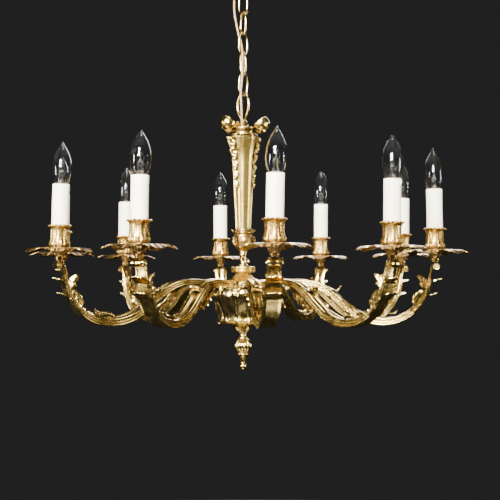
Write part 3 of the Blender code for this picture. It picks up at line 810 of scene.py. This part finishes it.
def basket():
    """Ten concave petals with raised rims, whose feet curl out, over a small leaf bowl."""
    column = spline([(0.0500, 0.0034), (0.0524, -0.0010), (0.0534, -0.0060), (0.0516, -0.0130),
                     (0.0476, -0.0230), (0.0436, -0.0330), (0.0404, -0.0410), (0.0386, -0.0470),
                     (0.0386, -0.0515), (0.0402, -0.0550), (0.0438, -0.0574), (0.0470, -0.0578),
                     (0.0484, -0.0566)], 5)
    rows, columns = len(column), 27
    x = np.linspace(-1, 1, columns)[None, :]
    v = np.linspace(0, 1, rows)[:, None]
    half = radians(17.4) * (1 - 0.16 * ramp(v, 0.82, 0.18) ** 2)
    angle = x * half
    hollow = 0.0042 * (1 - x**2) * np.sin(pi * np.clip(v * 1.1, 0, 1)) ** 0.5
    rim = 0.0016 * ridge(np.abs(x), 0.86, 0.10) - 0.0007 * ridge(np.abs(x), 0.62, 0.07)
    radius = column[:, :1] * cos(radians(18)) / np.cos(angle) - hollow + rim
    foot = 0.0026 * ramp(v, 0.85, 0.15) * (1 - np.abs(x) ** 3)
    grid = np.stack([(radius + foot) * np.cos(angle), (radius + foot) * np.sin(angle),
                     np.broadcast_to(column[:, 1:], radius.shape)], -1)
    petal = shell(grid, 0.0017)
    tip = [(0.0500, -0.0010), (0.0528, -0.0050), (0.0560, -0.0068), (0.0578, -0.0050),
           (0.0570, -0.0028)]
    curl = fan_leaf(tip, 6, 0.0034, (0.3, 0.95), 1, 2, cut=0.3, thick=0.0013, columns=9)
    start = -pi / 2 + ARM_STEP / 2 + radians(-7)
    ridges = [start + ARM_STEP * i for i in range(ARMS)]
    middles = [a + ARM_STEP / 2 for a in ridges]
    liner = lathe(spline([(0.0476, 0.0030), (0.0500, -0.0062), (0.0440, -0.0235), (0.0368, -0.0410),
                          (0.0345, -0.0500), (0.0330, -0.0560), (0.0310, -0.0560),
                          (0.0325, -0.0500), (0.0348, -0.0410), (0.0420, -0.0235),
                          (0.0480, -0.0062), (0.0456, 0.0030)], 2),
                  90, closed=True)
    shape = joined(turned_copies(petal, middles), turned_copies(curl, ridges), liner)
    place("basket_petals", finish_mesh("basket", shape, SMOOTH, 50), instead="basket")
    bowl_leaf()


def bowl_leaf():
    """The small bowl of overlapping leaves between the basket and the finial."""
    outer = [(0.0330, -0.0556), (0.0338, -0.0572), (0.0322, -0.0584), (0.0270, -0.0594),
             (0.0222, -0.0612), (0.0184, -0.0640), (0.0156, -0.0672), (0.0132, -0.0702),
             (0.0124, -0.0722), (0.0124, -0.0722), (BORE_R, -0.0722), (BORE_R, -0.0722),
             (BORE_R, -0.0692), (0.0108, -0.0676), (0.0150, -0.0630), (0.0210, -0.0588),
             (0.0310, -0.0566)]

    def leaves(angle, radius, height):
        deep = ramp(height, -0.0590, -0.003) * (radius > 0.0122)
        petal = np.abs(np.sin(5 * angle + 0.4))
        veins = 0.0004 * np.cos(40 * angle) * petal
        return radius - deep * (0.0020 * (1 - petal) ** 1.3 - veins), height

    shape = lathe(spline(outer, 4), 240, leaves, closed=True)
    place("leaf_bowl", finish_mesh("leaf_bowl", shape, BRASS, 45))


def finial():
    outer = [(0.0, -0.0725), (0.0076, -0.0725), (0.0086, -0.0732), (0.0084, -0.0744),
             (0.0068, -0.0756), (0.0061, -0.0776), (0.0062, -0.0800), (0.0072, -0.0826),
             (0.0086, -0.0838), (0.0088, -0.0850), (0.0080, -0.0860), (0.0106, -0.0874),
             (0.0132, -0.0904), (0.0152, -0.0944), (0.0157, -0.0984), (0.0148, -0.1024),
             (0.0126, -0.1064), (0.0098, -0.1094), (0.0084, -0.1106), (0.0092, -0.1116),
             (0.0104, -0.1128), (0.0106, -0.1140), (0.0098, -0.1152), (0.0082, -0.1162),
             (0.0074, -0.1180), (0.0062, -0.1212), (0.0050, -0.1244), (0.0042, -0.1276),
             (0.0044, -0.1290), (0.0058, -0.1308), (0.0067, -0.1336), (0.0068, -0.1356),
             (0.0060, -0.1386), (0.0044, -0.1410), (0.0018, -0.1424), (0.0, -0.1426)]

    def gadroons(angle, radius, height):
        ball = ramp(height, -0.0872, -0.003) * ramp(height, -0.1100, 0.003)
        swirl = np.abs(np.sin(6 * angle))
        cone = ramp(height, -0.1165, -0.002) * ramp(height, -0.1270, 0.002)
        radius = radius - 0.0016 * ball * (1 - swirl) ** 1.4 - 0.0005 * cone * (1 - swirl) ** 2
        return radius, height

    shape = lathe(spline(outer, 3), 144, gadroons)
    place("finial_turning", finish_mesh("finial_turning", shape, BRASS, 45), instead="finial")


# arms


ARM_PATH = (  # distance out, height, thickness, width: the arch, the U and the neck
    (0.0475, 0.0105, 0.0125, 0.020), (0.0640, 0.0130, 0.0110, 0.020),
    (0.0850, 0.0156, 0.0105, 0.021), (0.1060, 0.0160, 0.0105, 0.022),
    (0.1280, 0.0128, 0.0110, 0.023), (0.1470, 0.0045, 0.0120, 0.024),
    (0.1660, -0.0090, 0.0130, 0.025), (0.1860, -0.0262, 0.0138, 0.026),
    (0.2080, -0.0420, 0.0142, 0.027), (0.2320, -0.0510, 0.0142, 0.027),
    (0.2560, -0.0530, 0.0140, 0.027), (0.2800, -0.0485, 0.0130, 0.027),
    (0.3000, -0.0380, 0.0110, 0.026), (0.3150, -0.0230, 0.0090, 0.025),
    (0.3260, -0.0040, 0.0072, 0.025), (0.3320, 0.0130, 0.0058, 0.0235),
    (0.3345, 0.0290, 0.0046, 0.0215),
)
VOLUTE_CENTRE = (0.3455, 0.0430)
ARM_SECTION = (  # half of the arm's section, across and over, from its polished face round
    (0.00, -0.72), (0.35, -0.75), (0.64, -0.84), (0.76, -1.00), (0.91, -0.99), (1.00, -0.82),
    (0.98, -0.62), (0.87, -0.46), (0.88, -0.30), (0.96, -0.16), (0.94, 0.02), (0.82, 0.16),
    (0.84, 0.36), (0.89, 0.54), (0.83, 0.76), (0.68, 0.94), (0.48, 1.00), (0.30, 0.92),
    (0.18, 0.72), (0.00, 0.62),
)


def arm_line():
    """Samples (out, up, thickness, width) along the whole arm, to the end of its volute."""
    path = list(ARM_PATH)
    x, z = VOLUTE_CENTRE
    for turned_by in range(0, 487, 27):
        angle, share = radians(175 - turned_by), turned_by / 486
        r = 0.0071 - 0.0048 * share
        path.append((x + r * cos(angle), z + r * sin(angle), 0.0032 - 0.0010 * share, 0.0248))
    return spline(path, 6)


class ArmLine:
    """The arm's centreline by distance along it, so that leaves can be laid on its faces."""

    def __init__(self):
        self.line = arm_line()
        self.flat = self.line[:, :2]
        steps = np.linalg.norm(np.diff(self.flat, axis=0), axis=1)
        self.far = np.concatenate([[0.0], np.cumsum(steps)])
        self.way = unit(np.gradient(self.flat, axis=0))
        self.main = len(ARM_PATH) * 6 - 5

    def at_rise(self, up):
        low = int(np.argmin(self.flat[:self.main, 1]))
        return float(np.interp(up, self.flat[low:self.main, 1], self.far[low:self.main]))

    def frames(self, start_up, end_up, rows, face, lift):
        """A spine up the rise, on its inner (1) or outer (-1) face, raised by lift."""
        far = np.linspace(self.at_rise(start_up), self.at_rise(end_up), rows)
        out, up, thick, width = (np.interp(far, self.far, self.line[:, i]) for i in range(4))
        way = unit(np.stack([np.interp(far, self.far, self.way[:, i]) for i in range(2)], -1))
        over = np.stack([-way[:, 1], np.zeros(rows), way[:, 0]], -1) * face
        spine = np.stack([out, np.zeros(rows), up], -1) + over * (thick / 2 * 0.8 + lift)[:, None]
        return spine, over, np.tile((0.0, 1.0, 0.0), (rows, 1)), width / 2


def arm_body(line):
    half = spline(ARM_SECTION, 2)
    section = np.vstack([half, half[-2:0:-1] * (-1, 1)])
    path = np.stack([line.flat[:, 0], np.zeros(len(line.flat)), line.flat[:, 1]], -1)
    size = line.line[:, [3, 2]] / 2
    body = sweep(path, section, (0.0, 1.0, 0.0), size)
    x, z = VOLUTE_CENTRE
    core = [(0.0, -0.0116), (0.0052, -0.0116), (0.0058, -0.0108), (0.0058, 0.0108),
            (0.0052, 0.0116), (0.0, 0.0116)]
    eye = [(0.0, -0.0132), (0.0014, -0.0129), (0.0024, -0.0120), (0.0024, 0.0120), (0.0014, 0.0129),
           (0.0, 0.0132)]
    roll = Matrix.Translation((x, 0, z)) @ Matrix.Rotation(pi / 2, 4, "X")
    return joined(body, moved(lathe(core, 40), roll), moved(lathe(spline(eye, 2), 24), roll))


def arm_lips(line):
    """Two thin sheaths on the arm's polished face, each ending in a lip that curls out and up."""
    parts = []
    for start_up, end_up, reach in ((-0.0360, 0.0010, 0.0118), (-0.0040, 0.0225, 0.0130)):
        rows = 34
        v = np.linspace(0, 1, rows)
        lift = 0.0004 + reach * ramp(v, 0.62, 0.38) ** 2.1
        spine, over, across, half = line.frames(start_up, end_up, rows, -1, lift)
        half = half + 0.0012 + 0.0012 * ramp(v, 0.6, 0.4)
        u = np.linspace(-1, 1, 25)[None, :]
        tongue = 0.0058 * ramp(v[:, None], 0.7, 0.3) ** 1.3 * (1 - np.abs(u) ** 1.5)
        side_lobe = 0.0012 * ramp(v[:, None], 0.8, 0.2) * np.cos(3 * pi * u)
        rim = 0.0011 * ridge(np.abs(u), 0.90, 0.09) * (1 - v[:, None] ** 3)
        fall = -0.0016 * ramp(np.abs(u), 0.93, 0.07) * (1 - v[:, None] ** 4)
        ahead = unit(np.gradient(spine, axis=0))
        grid = (
            spine[:, None] + across[:, None] * (half[:, None] * u)[..., None]
            + ahead[:, None] * (tongue + side_lobe)[..., None]
            + over[:, None] * (rim + fall)[..., None]
        )
        parts.append(shell(grid, (0.0016 - 0.0006 * v**2)[:, None, None]))
    return parts


def side_leaf(points, width, side):
    """A fleshy lobe along (distance out, height) points, standing on one side of an arm."""
    spine, _, _ = fan_frames(points, 5)
    t = np.linspace(0, 1, len(spine))
    foot, curl = 0.0062, 0.0030  # out from the arm's middle, and the tip's curl beyond it
    spine[:, 1] = side * (foot + curl * t**1.5)
    over = np.tile((0.0, float(side), 0.0), (len(spine), 1))
    across = unit(np.cross(over, np.gradient(spine, axis=0)))
    half = width / 2 * np.sin(pi * (0.20 + 0.77 * t)) ** 0.75
    return leaf(spine, over, across, half, 3, cut=0.16, lean=0.3, cup=-0.0016, rib=0.0010,
                thick=0.0024, columns=13)


def arm_acanthus(line):
    """The chased sheath up the inside of the rising part, with lobes standing beside it."""
    parts = []
    for start_up, end_up, teeth in ((-0.0470, -0.0120, 5), (-0.0160, 0.0200, 4)):
        rows = 40
        v = np.linspace(0, 1, rows)
        lift = 0.0003 + 0.0008 * np.sin(pi * v) + 0.0030 * ramp(v, 0.72, 0.28) ** 2
        spine, over, across, half = line.frames(start_up, end_up, rows, 1, lift)
        half = (half - 0.0012) * np.minimum(1, 0.55 + 2.0 * v) * np.sqrt(1 - 0.92 * v**3)
        parts.append(leaf(spine, over, across, half, teeth, cut=0.3, lean=0.5, cup=-0.0008,
                          rib=0.0012, vein=0.0008, thick=0.0018))
    for side in (-1, 1):
        for points, width in (
            ([(0.3290, 0.0010), (0.3262, 0.0085), (0.3225, 0.0165), (0.3180, 0.0230),
              (0.3135, 0.0265)], 0.0092),
            ([(0.3270, 0.0040), (0.3215, 0.0100), (0.3165, 0.0125)], 0.0060),
            ([(0.3265, -0.0070), (0.3205, -0.0025), (0.3145, -0.0035), (0.3095, -0.0095),
              (0.3065, -0.0165), (0.3052, -0.0225)], 0.0080),
        ):
            parts.append(side_leaf(points, width, side))
    return parts


def arm_drops():
    """The frond under the arch, the leaf tip at its shoulder and the bud on the U."""
    hang = [(0.1180, 0.0080), (0.1250, 0.0030), (0.1310, -0.0040), (0.1370, -0.0120),
            (0.1450, -0.0200), (0.1530, -0.0260)]
    spine, over, across = fan_frames(hang, 9)
    v = np.linspace(0, 1, len(spine))
    half = 0.0105 * np.minimum(1, 0.7 + 1.2 * v) * (1 - 0.35 * v)
    drop = frond(spine, -over, across, half,
                 4, 0.0215, 0.0086, 0.0016, spread=0.30, tilt=0.6)
    stand = [(0.1560, 0.0060), (0.1635, 0.0020), (0.1700, 0.0010), (0.1745, 0.0045),
             (0.1762, 0.0085)]
    tip = fan_leaf(stand, 8, 0.0105, (0.25, 0.97), 0.8, 3, cut=0.28, lean=0.5, cup=-0.0010,
                   flare=0.0025, thick=0.0016)
    bud = [(0.2420, -0.0460), (0.2480, -0.0430), (0.2560, -0.0402), (0.2630, -0.0392),
           (0.2690, -0.0396), (0.2745, -0.0372)]
    spine, over, across = fan_frames(bud, 8)
    half = 0.0080 * np.sin(pi * np.linspace(0.2, 0.9, len(spine))) ** 0.8
    top = frond(spine, over, across, half,
                2, 0.0120, 0.0068, 0.0022, spread=0.5, tilt=0.4, start=0.15)
    return [drop, tip, top]


def arms():
    line = ArmLine()
    shape = joined(arm_body(line), *arm_lips(line), *arm_acanthus(line), *arm_drops())
    mesh = finish_mesh("arm", shape, BRASS, 48)
    for i in range(ARMS):
        place(f"arm_casting_{i + 1}", mesh, turn=arm_angle(i), instead=f"arm_{i + 1}")
    bud = [(0.0440, 0.0180), (0.0490, 0.0150), (0.0535, 0.0090), (0.0560, 0.0030), (0.0585, 0.0012)]
    shape = fan_leaf(bud, 6, 0.0062, (0.3, 0.96), 0.7, 4, cut=0.4, lean=0.4, cup=-0.0015, rib=0.001,
                     thick=0.0014)
    mesh = finish_mesh("hub_leaf", shape, BRASS, 55)
    for i in range(ARMS):
        place(f"hub_leaf_{i + 1}", mesh, turn=arm_angle(i + 0.5))


def arm_angle(i):
    return -pi / 2 + ARM_STEP * i


# lights


def pan_shape():
    """A thin plate with six acanthus lobes, whose tips droop, round a plain well."""
    lobe_count, rows, columns = 6, 22, 432
    angle = np.arange(columns)[None, :] * 2 * pi / columns
    share = np.linspace(0.24, 1, rows)[:, None]
    x = 2 * ((angle * lobe_count / (2 * pi)) % 1) - 1
    tooth = np.abs(np.cos(3.5 * pi * x)) ** 0.7 * (1 - 0.3 * np.abs(x))
    edge = 0.0440 + 0.0135 * (1 - np.abs(x) ** 2.0) ** 0.8 + 0.0022 * tooth
    edge = edge - 0.0050 * ridge(1 - np.abs(x), 0, 0.08)
    radius = share * edge
    out = np.clip((radius - 0.0410) / 0.0180, 0, 1.1)
    window = 1 - 0.9 * np.abs(x) ** 1.3
    height = 0.0716 - 0.0072 * out**1.4 * window
    height = height + 0.0009 * ridge(x, 0, 0.10) * np.clip(share * 3 - 1.6, 0, 1)
    ripple = 0.0006 * np.clip(share * 3 - 2, 0, 1) * np.cos(5 * pi * x)
    height = height + ripple * (1 - np.abs(x) ** 4)
    grid = np.stack([radius * np.cos(angle), radius * np.sin(angle), height], -1)
    return shell(grid, 0.0012, wrap=True)


def pan_neck():
    outer = [(0.0, 0.0707), (0.0150, 0.0707), (0.0150, 0.0707), (0.0142, 0.0690), (0.0122, 0.0664),
             (0.0110, 0.0638), (0.0102, 0.0612), (0.0086, 0.0590), (0.0074, 0.0574),
             (0.0078, 0.0560), (0.0076, 0.0544), (0.0064, 0.0530), (0.0062, 0.0517),
             (0.0062, 0.0517), (0.0, 0.0517)]

    def petals(angle, radius, height):
        share = ramp(height, 0.0580, 0.003) * (radius > 0.008)
        return radius - 0.0010 * share * (1 - np.abs(np.sin(5 * angle))) ** 1.5, height

    return lathe(spline(outer, 3), 100, petals)


def cup_shape():
    """The candle cup: a flaring rim of leaf tips over a waisted body chased with six leaves."""
    outer = [(0.0146, 0.1080), (0.0166, 0.1104), (0.0190, 0.1112), (0.0203, 0.1104),
             (0.0200, 0.1092), (0.0180, 0.1080), (0.0163, 0.1058), (0.0154, 0.1030),
             (0.0149, 0.0990), (0.0149, 0.0940), (0.0153, 0.0890), (0.0161, 0.0845),
             (0.0170, 0.0806), (0.0172, 0.0776), (0.0164, 0.0750), (0.0158, 0.0736),
             (0.0164, 0.0724), (0.0168, 0.0716), (0.0160, 0.0716), (0.0120, 0.0718),
             (0.0120, 0.0760), (0.0143, 0.0800), (0.0143, 0.1040)]

    def chasing(angle, radius, height):
        outside = (radius > 0.0146) & (height > 0.0738)
        x = 2 * ((angle * 6 / (2 * pi)) % 1) - 1
        body = ramp(height, 0.0742, 0.003) * ramp(height, 0.1052, -0.003)
        veins = 0.5 + 0.5 * np.cos(2 * pi * ((height - 0.074) / 0.0042 - 1.1 * np.abs(x)))
        mid = ridge(x, 0, 0.10)
        split = ridge(1 - np.abs(x), 0, 0.07)
        scroll = np.exp(-((((np.abs(x) - 0.52) / 0.24) ** 2 + ((height - 0.0800) / 0.0034) ** 2)))
        relief = 0.0007 * veins + 0.0006 * mid - 0.0011 * split + 0.0014 * scroll
        tips = ramp(radius, 0.0168, 0.003) * (height > 0.1060)
        wave = np.abs(np.sin(7 * angle)) ** 0.8
        radius = radius + outside * body * (relief - 0.0004) - 0.0026 * tips * (1 - wave)
        return radius, height - 0.0012 * tips * wave * ramp(radius, 0.0178, 0.002)

    return lathe(spline(outer, 3), 252, chasing, closed=True)


def sleeve_shape():
    wall, foot, top = 0.0013, SLEEVE_FOOT, SLEEVE_TOP
    r, inner, edge = SLEEVE_R, SLEEVE_R - wall, 0.0004
    outline = [(r, foot + edge), (r, foot + edge)]
    outline += [(r, foot + (top - foot) * s) for s in (0.2, 0.4, 0.6, 0.8)]
    outline += [(r, top - edge), (r - edge, top), (inner + edge, top), (inner, top - edge),
                (inner, foot + edge), (inner + edge, foot), (r - edge, foot)]
    return lathe(outline, 96, closed=True)


def holder_shape():
    outline = [(0.0, 0.1500), (0.0074, 0.1500), (0.0074, 0.1755), (0.0096, 0.1762),
               (0.0108, 0.1752), (0.0110, 0.1735), (0.0110, 0.1480), (0.0100, 0.1465),
               (0.0100, 0.0800), (0.0110, 0.0780), (0.0110, 0.0730), (0.0, 0.0730)]
    return lathe(outline, 48)


BULB_OUTLINE = (
    (0.0000, 0.2512), (0.0009, 0.2508), (0.0022, 0.2488), (0.0044, 0.2452), (0.0078, 0.2398),
    (0.0111, 0.2335), (0.0138, 0.2265), (0.0158, 0.2185), (0.0171, 0.2105), (0.0175, 0.2035),
    (0.0169, 0.1965), (0.0153, 0.1895), (0.0130, 0.1838), (0.0106, 0.1800), (0.0086, 0.1780),
    (0.0078, 0.1766),
)


def bulb_glass_shape():
    outer = spline(BULB_OUTLINE, 4)
    normal = np.stack([np.gradient(outer[:, 1]), -np.gradient(outer[:, 0])], -1)
    wall = 0.00055
    inner = outer + unit(normal) * wall
    inner[:, 0] = np.maximum(inner[:, 0], 0.0)
    inner[0] = (0.0, outer[0, 1] - 0.0012)
    return lathe(np.vstack([outer, inner[::-1]]), 72)


def bulb_cap_shape():
    """The screw cap: a rolled thread over a skirt, with the glass seat at its top."""
    turns = [(0.0, 0.1530), (0.0030, 0.1530), (0.0034, 0.1545), (0.0062, 0.1562)]
    for i in range(6):
        low = 0.1570 + 0.0030 * i
        turns += [(0.0062, low), (0.0069, low + 0.0015)]
    turns += [(0.0064, 0.1752), (0.0067, 0.1762), (0.0066, 0.1790), (0.0050, 0.1800), (0.0, 0.1800)]
    return lathe(spline(turns, 3), 40)


def bulb_mount():
    """The flared glass foot, the rod on it and the support wires' bead."""
    outline = [(0.0, 0.1790), (0.0062, 0.1792), (0.0058, 0.1815), (0.0046, 0.1845),
               (0.0040, 0.1880), (0.0042, 0.1935), (0.0050, 0.1970), (0.0044, 0.2005),
               (0.0022, 0.2030), (0.0014, 0.2090), (0.0022, 0.2115), (0.0020, 0.2140),
               (0.0, 0.2152)]

    def pinch(angle, radius, height):
        return radius * (1 + 0.25 * np.cos(2 * angle) * (height < 0.198)), height

    return lathe(spline(outline, 4), 36, pinch)


def filament_shape():
    """A coiled filament in a zigzag on its wires."""
    leads = []
    for side in (-1, 1):
        path = [(side * 0.0016, 0, 0.1930), (side * 0.0030, 0, 0.2000), (side * 0.0062, 0, 0.2060)]
        leads.append(tube(spline(path, 6), 0.00028, 8))
    for angle in (-0.5, 0.5):
        path = [(0, 0, 0.2080), (0.0030 * sin(angle), 0.002, 0.2110),
                (0.0050 * sin(angle), 0.001, 0.2160)]
        leads.append(tube(spline(path, 6), 0.00022, 8))
    t = np.linspace(0, 1, 400)
    sag = [(-0.0062, 0, 0.2060), (-0.0024, 0.001, 0.2160), (0.0, 0, 0.2100),
           (0.0024, 0.001, 0.2160), (0.0062, 0, 0.2060)]
    base = spline(sag, 100)
    line = np.stack([np.interp(t, np.linspace(0, 1, len(base)), base[:, i]) for i in range(3)], -1)
    turns, coil_r, wire_r = 46, 0.00042, 0.00010
    wind = 2 * pi * turns * t
    line = line + coil_r * np.stack([np.cos(wind), np.sin(wind), 0 * wind], -1)
    return joined(*leads, tube(line, wire_r, 5))


PAN_TURNS = (8, 31, -14, 22, 47, -3, 17, 52, -21, 36)  # degrees, as each pan was screwed down
LEANS = ((1.2, 0.3), (0.4, 0.8), (-0.9, 0.5), (0.6, -0.4), (0.3, 0.4),
         (-0.4, 0.5), (0.7, -0.6), (0.5, 0.6), (1.4, 0.2),
         (0.7, 0.3))  # degrees that a loose sleeve leans


def lights():
    meshes = {
        # the pans take the darker copy of the copper gold, which paints shade on them
        "pan": finish_mesh("pan", joined(pan_shape(), pan_neck()), SHADED_PLATE, 50),
        "cup": finish_mesh("cup", cup_shape(), COPPER, 50),
        "holder": finish_mesh("holder", holder_shape(), STEEL),
        "sleeve": finish_mesh("sleeve", sleeve_shape(), CANDLE, 60),
        "glass": finish_mesh("glass", bulb_glass_shape(), GLASS, 80),
        "cap": finish_mesh("cap", bulb_cap_shape(), SMOOTH, 60),
        "mount": finish_mesh("mount", bulb_mount(), STEM_GLASS, 60),
        "filament": finish_mesh("filament", filament_shape(), TUNGSTEN, 60),
    }
    for i in range(ARMS):
        angle = arm_angle(i)
        at = (LIGHT_R * cos(angle), LIGHT_R * sin(angle), 0.0)
        n = i + 1
        turn = angle + radians(PAN_TURNS[i])
        right, away = (radians(a) for a in LEANS[i])
        pivot = Matrix.Translation((0, 0, SLEEVE_FOOT))
        lean = Matrix.Rotation(right, 4, "Y") @ Matrix.Rotation(away, 4, "X")
        lean = pivot @ lean @ pivot.inverted()
        place(f"pan_{n}", meshes["pan"], slot="copper_gold", at=at, turn=turn,
              instead=f"drip_pan_{n}")
        place(f"cup_{n}", meshes["cup"], slot="copper_gold", at=at, turn=turn)
        place(f"lampholder_{n}", meshes["holder"], slot="steel", at=at, lean=lean)
        place(f"sleeve_{n}", meshes["sleeve"], slot="candle_cream", at=at,
              instead=f"candle_sleeve_{n}", lean=lean)
        place(f"bulb_glass_{n}", meshes["glass"], f"lamp_{n}", "bulb_glass", at,
              instead=f"bulb_{n}", lean=lean)
        turn_in = lean @ Matrix.Rotation(radians(40 * i), 4, "Z")
        place(f"bulb_cap_{n}", meshes["cap"], f"lamp_{n}", at=at, lean=turn_in)
        place(f"bulb_mount_{n}", meshes["mount"], f"lamp_{n}", "bulb_glass", at, lean=turn_in)
        place(f"bulb_filament_{n}", meshes["filament"], f"lamp_{n}", "steel", at, lean=turn_in)


# studio


def softbox(name, at, aim, size, power, spread):
    light = bpy.data.lights.new(name, "AREA")
    light.shape, light.energy, light.spread = "RECTANGLE", power, spread
    light.size, light.size_y = size
    lamp = bpy.data.objects.new(name, light)
    lamp.location = at
    lamp.rotation_euler = (Vector(aim) - Vector(at)).to_track_quat("-Z", "Y").to_euler()
    lamp.visible_camera = lamp.visible_transmission = False
    bpy.context.scene.collection.objects.link(lamp)


def studio():
    disc = lathe([(0.0, 0.0), (5.0, 0.0), (9.0, 0.0), (9.0, -0.01), (0.0, -0.01)], 96)
    floor_z = DATUM_Z - 1.98
    nodes = Nodes("studio_floor")
    grain = nodes.noise(nodes.place(), 3.0)
    nodes.link("Base Color", nodes.mix(grain, (0.78, 0.77, 0.75), (0.80, 0.79, 0.77)))
    nodes.shader.inputs["Roughness"].default_value = 0.7
    floor = bpy.data.objects.new("floor", finish_mesh("floor", disc, nodes.material))
    floor.location.z = floor_z
    floor.visible_glossy = False  # the brass mirrors a dark room, as in the photograph
    bpy.context.scene.collection.objects.link(floor)
    world = bpy.data.worlds.new("studio")
    world.use_nodes = True
    background = world.node_tree.nodes["Background"].inputs["Color"]
    background.default_value = (0.020, 0.020, 0.021, 1.0)
    bpy.context.scene.world = world
    middle = (0, 0, DATUM_Z + 0.05)
    for name, at, size, power in (
        ("key", (-0.9, -2.5, 0.6), (0.9, 0.8), 62.0),
        ("left", (-2.6, -1.0, -0.5), (0.4, 1.6), 14.0),
        ("right", (2.6, -1.0, -0.5), (0.4, 1.6), 7.0),
        ("top", (0.2, -0.6, 1.6), (0.8, 0.8), 2.5),
        ("back", (0.8, 2.6, 0.6), (1.2, 1.0), 5.0),
        ("low", (-0.3, -0.9, -2.3), (1.2, 0.8), 1.6),
    ):
        softbox(name, at, middle, size, power, radians(50))
    # one broad light below the chandelier shines straight down, for the pale floor alone
    softbox("floor_wash", (0, 0, DATUM_Z - 0.75), (0, 0, floor_z), (6.0, 6.0), 110.0, radians(180))


def camera():
    """Level with the arms, a little to the left of the first one, and tipped up slightly."""
    distance, side = 2.098, radians(8)
    heading, pitch = side + radians(0.34), radians(2.03)
    made = bpy.data.cameras.new("camera")
    made.lens = 83.5
    obj = bpy.data.objects.new("camera", made)
    obj.location = (-distance * sin(side), -distance * cos(side), DATUM_Z)
    way = Vector((sin(heading) * cos(pitch), cos(heading) * cos(pitch), sin(pitch)))
    obj.rotation_euler = way.to_track_quat("-Z", "Y").to_euler()
    bpy.context.scene.collection.objects.link(obj)
    bpy.context.scene.camera = obj


camera()
studio()
ceiling_fitting()
chain()
hanging_loop()
supply_flex()
crown()
stem()
knop()
spindle()
bell()
hub()
basket()
finial()
arms()
lights()
rod_materials = frame["nodes"]["tie_rod"].data.materials
rod_materials.clear()
rod_materials.append(STEEL)
